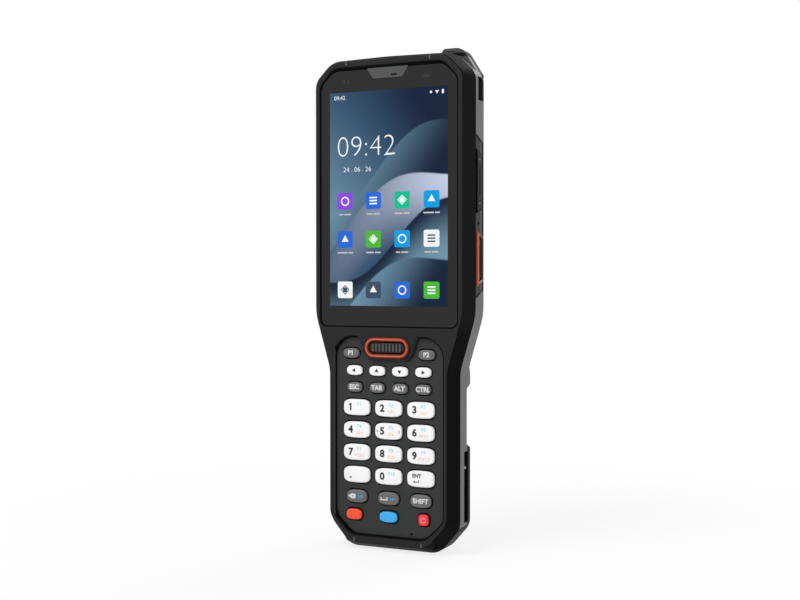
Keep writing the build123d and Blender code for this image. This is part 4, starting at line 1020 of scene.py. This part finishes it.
class TERMINAL_OT_legends(bpy.types.Operator):
    """Print the digits, letters and signs on the keys"""
    bl_idname = "terminal.legends"
    bl_label = "Legends"

    def execute(self, context):
        look = context.scene.terminal_keypad
        bold, fine = 0.04, 0.012               # how far letters are thickened, for their size
        inks = {name: moulded(f"legend_{name}", getattr(look, f"legend_{name}"), 0.5, 0.3)
                for name in ("black", "white", "blue", "orange", "aqua", "rose")}
        signs = self.signs()
        for name in sorted(set(LEGENDS) | set(signs)):
            low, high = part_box(name)
            at, parts = Vector(((low.x + high.x) / 2, low.y, (low.z + high.z) / 2)), []
            for colour, text, size, across, up in LEGENDS.get(name, []):
                weight = size * (bold if colour in ("black", "white") else fine)
                word = lettering(text, size, at + Vector((across, 0, up)), weight)
                parts += inked(inks[colour], word)
                if text in ("1", "P1"):
                    parts += inked(inks[colour], self.flag(word, size))
            for colour, make in signs.get(name, []):
                parts += inked(inks[colour], *make(at))
            piece = joined(parts, f"legend_{name[4:]}", name)
            divide(piece)
            cap = bpy.data.objects[f"cap_{name[4:]}"]
            laid_on(piece, cap, look.print_lift)
        return {"FINISHED"}

    def flag(self, word, size):
        """The slanted stroke at the head of a digit one that ends a word."""
        corners = [corner.co for corner in word.data.vertices]
        right, top = max(corner.x for corner in corners), max(corner.z for corner in corners)
        place = (right - size * 0.18, corners[0].y, top - size * 0.13)
        return stroke(size * 0.26, size * 0.1, place, -40)

    def signs(self):
        """Signs that are no words, by key: their inks and the methods that draw them."""
        def arrow(turn):
            return [("black", lambda at: [self.dart(at, 0.0010, turn=turn)])]

        return {
            "key_left": arrow(-90),
            "key_up": arrow(0),
            "key_down": arrow(180),
            "key_right": arrow(90),
            "key_5": [("black", self.home)],
            "key_dot": [("black", self.dot)],
            "key_enter": [("black", self.enter)],
            "key_backspace": [("white", self.backspace), ("black", self.cross),
                              ("aqua", lambda at: self.speaker(at, 0.0019, 1))],
            "key_space": [("white", self.space), ("aqua", lambda at: self.speaker(at, 0.0020, 2))],
            "key_power": [("rose", self.power)],
        }

    def bar(self, at, long, high, across=0.0, up=0.0, corner=0.0):
        """A bar, placed from the key's middle."""
        return tile(long, high, at + Vector((across, 0, up)), corner)

    def dart(self, at, size, across=0.0, up=0.0, turn=-90):
        """A triangle, placed from the key's middle. It points up at a turn of 0, left at -90."""
        return disc(size, at + Vector((across, 0, up)), 3, math.radians(turn))

    def home(self, at):
        """A small bar at each end of the middle digit's key."""
        return [self.bar(at, PEN, 0.0012, side * 0.0049) for side in (-1, 1)]

    def dot(self, at):
        """A point, low on the left of its key."""
        return [disc(0.0004, at + Vector((-0.0026, 0, -0.0012)))]

    def enter(self, at):
        """An arrow to the left that comes down first."""
        return [self.bar(at, 0.0021, PEN, -0.0016, -0.0012),
                self.bar(at, PEN, 0.0010, -0.0007, -0.0008),
                self.dart(at, 0.0006, -0.0026, -0.0012)]

    def backspace(self, at):
        """A tag that points to the left."""
        return [self.bar(at, 0.0020, 0.0020, -0.0014, corner=0.0004),
                self.dart(at, 0.0013, -0.0026)]

    def cross(self, at):
        """Two short strokes that cross on the tag."""
        place, long = at + Vector((-0.0017, 0, 0)), 0.0009
        return [stroke(long, long * 0.22, place, degrees) for degrees in (-45, 45)]

    def space(self, at):
        """A low bar with both its ends turned up."""
        middle, half, thick = -0.0018, 0.00135, 0.0005
        return [self.bar(at, 0.0032, thick, middle, -0.0005),
                *[self.bar(at, thick, 0.0013, middle + side * half, -0.0001) for side in (-1, 1)]]

    def speaker(self, at, across, waves):
        """A loudspeaker with one or two sound bars."""
        return [
            self.bar(at, 0.0008, 0.0009, across - 0.0006),
            self.dart(at, 0.0009, across),
            *[self.bar(at, 0.0002, 0.0008 + step * 0.0004, across + 0.0008 + step * 0.0006)
              for step in range(waves)]]

    def power(self, at):
        """A ring with a bar through its top."""
        thick = 0.00022
        return [ring(0.0011, thick, at), self.bar(at, thick, 0.0010, up=0.0007)]


# ---- scan keys ------------------------------------------------------------------------

class TERMINAL_OT_scan_keys(bpy.types.Operator):
    """Finish the scan keys, their rings and the volume key"""
    bl_idname = "terminal.scan_keys"
    bl_label = "Scan and side keys"

    def execute(self, context):
        look = context.scene.terminal_scan
        fine = {"grain": 0.0003, "depth": 0.000005}
        for name, colour, specular, zones in (
                ("scan_key_ring", look.ring, 0.3, self.front_zones),
                ("side_scan_rings", look.bar_orange_and_highlight, 0.6, self.side_zones),
                ("scan_key", look.ground, 0.15, self.rib_highlight_zones)):
            dress(moulded(f"{name}_plastic", colour, 0.35, specular, edge=0.0003, zones=zones,
                          rub=0.0, **fine), name)
        dress(moulded("side_key_plastic", look.insert, 0.5, 0.06, zones=self.groove_shade_zones,
                      rub=0.8, **fine),
              "side_scan_key_right", "side_scan_key_left", "volume_key",
              "battery_latch_right", "battery_latch_left")
        self.volume_signs(look)
        return {"FINISHED"}

    def front_zones(self, x, y, z):
        """A painted highlight as a pale ridge line along the middle of the ring's band, and
        painted shade on the dark outer flanks and deeper down.
        """
        look = bpy.context.scene.terminal_scan
        low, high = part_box("scan_key_ring")
        middle, round_off = (low + high) / 2, (high.z - low.z) / 2
        beyond = (x.absolute() - (high.x - round_off)).larger(0.0)
        up = z - middle.z
        reach = (beyond * beyond + up * up).root()
        ridge = round_off - look.band / 2
        away = (reach - ridge).absolute()
        beside = away.step(look.ridge_highlight_width / 3, look.ridge_highlight_width)
        flank_shade = away.step(look.band * 0.27, look.band * 0.4)
        deep = y.step(low.y + look.ring_height / 2, low.y + look.ring_height)
        return [(beside, look.ring_body, False), (flank_shade, look.ring_flank_shade, True),
                (deep, look.ring_flank_shade, True)]

    def side_zones(self, x, y, z):
        """The front bar is bright along its middle, a painted highlight on its own orange, and its
        edges and the rest are a dark red brown of painted shade.
        """
        look = bpy.context.scene.terminal_scan
        low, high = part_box("side_scan_rings")
        bar, end, soft = low.y + look.bar, look.bar * 0.3, 0.0001
        ends = z.step(low.z + end, low.z + end / 2).larger(z.step(high.z - end, high.z - end / 2))
        behind = y.step(bar - soft, bar + 2 * soft) * (1.0 - ends)
        edge = (y - (low.y + look.bar / 2)).absolute().step(look.bar * 0.28, look.bar * 0.55)
        return [(1.0 - behind, look.bar_orange_and_highlight, True),
                (edge * (1.0 - behind), look.ring_flank_shade, True), (behind, look.ring_shade, False)]

    def rib_highlight_zones(self, x, y, z):
        """Painted highlight: the ribs stand out paler than the dark ground between them."""
        look = bpy.context.scene.terminal_scan
        ground, start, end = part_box("scan_key")[0].y + look.rib_height, 0.0001, 0.0004
        return [(y.step(ground - start, ground - end), look.rib_highlight, False)]

    def groove_shade_zones(self, x, y, z):
        """Painted shade: the finger grooves of the side keys, and what lies below their faces, are
        darker than their faces.
        """
        look = bpy.context.scene.terminal_scan
        face, start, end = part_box("volume_key")[1].x, 0.00004, 0.00012
        return [(x.absolute().step(face - start, face - end), look.groove_shade, True)]

    def volume_signs(self, look):
        """A plus and a minus near the ends of the volume key."""
        low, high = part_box("volume_key")
        long, wide, inset, lift = 0.0013, 0.00032, 0.0035, 0.00002
        place = Vector((high.x + lift, (low.y + high.y) / 2, 0))
        finish = moulded("volume_sign", look.mark, 0.5, 0.3)
        for name, height, sizes in (
                ("volume_plus", high.z - inset, [(long, wide), (wide, long)]),
                ("volume_minus", low.z + inset, [(long, wide)])):
            place.z = height
            bars = [tile(*size, place, facing=FACING_RIGHT) for size in sizes]
            joined(inked(finish, *bars), name, "volume_key")


# ---- back, ends and inner pieces ------------------------------------------------------

class TERMINAL_OT_fittings(bpy.types.Operator):
    """Finish the windows, contacts, screws, sockets and boards"""
    bl_idname = "terminal.fittings"
    bl_label = "Fittings"

    def execute(self, context):
        look = context.scene.terminal_back
        dress(polished("window_glass", look.glass, 0.05), "scan_window", "camera_window")
        steel = polished("plated_steel", look.steel, 0.3, 1.0)
        dress(steel, "strap_pins", "usb_socket", "key_domes")
        dress(polished("contact_gold", look.gold, 0.22, 1.0),
              "charge_contacts", "battery_terminals")
        dress(moulded("circuit_board", look.board, 0.4), "main_board", "keypad_board")
        metal = polished("anodised_metal", look.glass, 0.35, 0.8)
        dress(metal, "scan_engine", "loudspeaker")
        self.camera(look, metal)
        self.screws(look, polished("blackened_steel", scaled(look.steel, 0.18), 0.3, 1.0))
        return {"FINISHED"}

    def camera(self, look, metal):
        """The ring and lens of the camera, and the flash beside it, on their window."""
        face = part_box("camera_window")[1].y
        across, up = look.lens_place
        place = Vector((across, face, up))
        reach, rise, inner = look.lens_radius, look.lens_rise, 0.7
        bezel = [(reach * share, rise * height) for share, height in (
            (1, 0), (1, 0.6), (0.95, 1), (0.86, 1), (0.80, 0.5), (inner, 0.08))]
        settle(turned(bezel, place), "camera_bezel", metal)
        base, crown = 0.00003, 0.0001
        dome = [(reach * inner * math.cos(turn), base + crown * math.sin(turn))
                for turn in (math.radians(15 * step) for step in range(6))]
        settle(turned(dome, place), "camera_lens", polished("camera_coating", look.lens, 0.04))
        place = Vector((look.flash_across, face, up))
        steps = [(look.flash_radius * share, rise * height) for share, height in (
            (1, 0), (1, 0.3), (0.9, 0.5), (0.7, 0.3), (0.5, 0.45), (0.3, 0.3), (0.1, 0.4))]
        settle(turned(steps, place), "camera_flash", polished("flash_lens", look.flash, 0.25))

    def screws(self, look, steel):
        """Pan-headed screws with a hexagon socket, deep in their counterbores."""
        low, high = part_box("housing_screws")
        reach, socket = look.screw_head, look.screw_head * 0.5
        turns = [math.radians(18 * step) for step in range(6)]
        shank = look.screw_depth - (high.y - low.y)
        profile = [(look.screw_shank, shank), (look.screw_shank, 0), (reach, 0),
                   *[(reach * (0.75 + 0.25 * math.cos(turn)),
                      look.screw_depth * (0.5 + 0.5 * math.sin(turn))) for turn in turns],
                   (socket * 1.1, look.screw_depth), (socket, look.screw_depth * 0.95),
                   (socket, look.screw_depth * 0.4)]
        seat = high.y - look.screw_depth
        pattern = turned(profile, Vector((0, seat, 0)), 24)
        sixth = math.radians(60)
        for corner in pattern.data.vertices:
            across, up = corner.co.x, corner.co.z
            if corner.co.y > seat and math.hypot(across, up) < socket * 1.05:
                off = math.atan2(up, across) % sixth - sixth / 2
                share = math.cos(sixth / 2) / math.cos(off)
                corner.co.x, corner.co.z = across * share, up * share
        screws = [copied(pattern, Vector((across, 0, up))) for across, up in self.heads(high.y)]
        inked(steel, *screws)
        bpy.data.objects.remove(pattern)
        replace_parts(joined(screws, "screws"), "housing_screws")

    def heads(self, face):
        """The middle of each screw's head, from the corners of its outer face."""
        spacing, near, groups = 0.02, 0.0001, {}
        for corner in frame["nodes"]["housing_screws"].data.vertices:
            x, y, z = corner.co
            if y > face - near:
                groups.setdefault((x > 0, round(z / spacing)), []).append((x, z))
        return [[(min(values) + max(values)) / 2 for values in zip(*points)]
                for points in groups.values()]


# ---- stage ----------------------------------------------------------------------------

def lamp(name, place, target, size, power):
    """A square lamp that points at a target."""
    data = bpy.data.lights.new(name, "AREA")
    data.shape, data.size, data.energy = "SQUARE", size, power
    made = bpy.data.objects.new(name, data)
    bpy.context.collection.objects.link(made)
    made.location = place
    made.rotation_euler = (Vector(target) - Vector(place)).to_track_quat("-Z", "Y").to_euler()


class TERMINAL_OT_stage(bpy.types.Operator):
    """Set up the pale floor, the white surroundings, the lamps and the camera"""
    bl_idname = "terminal.stage"
    bl_label = "Stage"

    def execute(self, context):
        look = context.scene.terminal_stage
        self.floor(look)
        self.surroundings(context, look)
        target = (0, 0, (cad_low.z + cad_high.z) / 2)
        lamp("key_lamp", look.key_place, target, look.lamp_size, look.key_power)
        lamp("side_lamp", look.side_place, target, look.lamp_size, look.side_power)
        camera = bpy.data.objects.new("camera", bpy.data.cameras.new("camera"))
        context.collection.objects.link(camera)
        camera.data.lens, camera.data.sensor_width = look.lens, look.sensor
        camera.location = look.camera_place
        camera.rotation_euler = (math.radians(90) - look.camera_tilt, 0, look.camera_turn)
        camera.data.clip_start, camera.data.clip_end = 0.01, 20
        context.scene.camera = camera
        context.scene.view_settings.view_transform = "Standard"
        return {"FINISHED"}

    def seen(self, tree):
        """1 for rays that show the surroundings: straight, in gloss or through glass."""
        path = tree.node("ShaderNodeLightPath")
        total = path["Is Camera Ray"] + path["Is Glossy Ray"] + path["Is Transmission Ray"]
        return total.math("MINIMUM", total, 1.0)

    def floor(self, look):
        """A wide disc that keeps a soft shadow near the part and is plain white far off."""
        radius, gap, shadow = 3, 0.0001, 0.2
        near, far = 0.004, 0.08                # squares of the distances between which it fades
        only()
        bpy.ops.mesh.primitive_circle_add(vertices=64, radius=radius, fill_type="NGON",
                                          location=(0, 0, cad_low.z - gap))
        floor = bpy.context.object
        floor.name = "floor"
        tree = Tree(bpy.data.materials.new("floor"))
        x, y = tree.place()[1:3]
        away = (x * x + y * y).step(near, far)
        bright = tree.node("ShaderNodeEmission", None, {"Color": WHITE, "Strength": 1.0})
        dull = tree.node("ShaderNodeBsdfDiffuse", None, {"Color": look.floor})
        share = self.seen(tree) * (1 - shadow + away * shadow)
        mixed = tree.node("ShaderNodeMixShader", None,
                          {0: share, 1: dull["BSDF"], 2: bright["Emission"]})
        floor.data.materials.append(tree.finish(mixed["Shader"]))

    def surroundings(self, context, look):
        """A white world to look at, which lights dull surfaces at the ambient level."""
        world = bpy.data.worlds.new("surroundings")
        tree = Tree(world)
        level = look.ambient + self.seen(tree) * (1.0 - look.ambient)
        light = tree.node("ShaderNodeBackground", None, {"Color": WHITE, "Strength": level})
        tree.finish(light["Background"], "ShaderNodeOutputWorld")
        context.scene.world = world


# ---- panel and registration -----------------------------------------------------------

OPERATORS = (
    TERMINAL_OT_stage,
    TERMINAL_OT_housings,
    TERMINAL_OT_glass,
    TERMINAL_OT_screen,
    TERMINAL_OT_keys,
    TERMINAL_OT_legends,
    TERMINAL_OT_scan_keys,
    TERMINAL_OT_fittings,
)
LOOKS = {
    "terminal_housing": HousingLook,
    "terminal_display": DisplayLook,
    "terminal_keypad": KeypadLook,
    "terminal_scan": ScanLook,
    "terminal_back": BackLook,
    "terminal_stage": StageLook,
}


class TERMINAL_PT_panel(bpy.types.Panel):
    """Lists the terminal's pieces and their colours and sizes"""
    bl_idname = "TERMINAL_PT_panel"
    bl_label = "Barcode terminal"
    bl_space_type = "VIEW_3D"
    bl_region_type = "UI"
    bl_category = "Terminal"

    def draw(self, context):
        for operator in OPERATORS:
            self.layout.operator(operator.bl_idname)
        for name, kind in LOOKS.items():
            box = self.layout.box()
            box.label(text=kind.__doc__)
            for value in kind.__annotations__:
                box.prop(getattr(context.scene, name), value)


def register():
    for kind in (*LOOKS.values(), *OPERATORS, TERMINAL_PT_panel):
        bpy.utils.register_class(kind)
    for name, kind in LOOKS.items():
        setattr(bpy.types.Scene, name, PointerProperty(type=kind))


def unregister():
    for name in LOOKS:
        delattr(bpy.types.Scene, name)
    for kind in reversed((*LOOKS.values(), *OPERATORS, TERMINAL_PT_panel)):
        bpy.utils.unregister_class(kind)


def main():
    register()
    for operator in OPERATORS:
        group, name = operator.bl_idname.split(".")
        getattr(getattr(bpy.ops, group), name)()


if __name__ == "__main__":
    main()
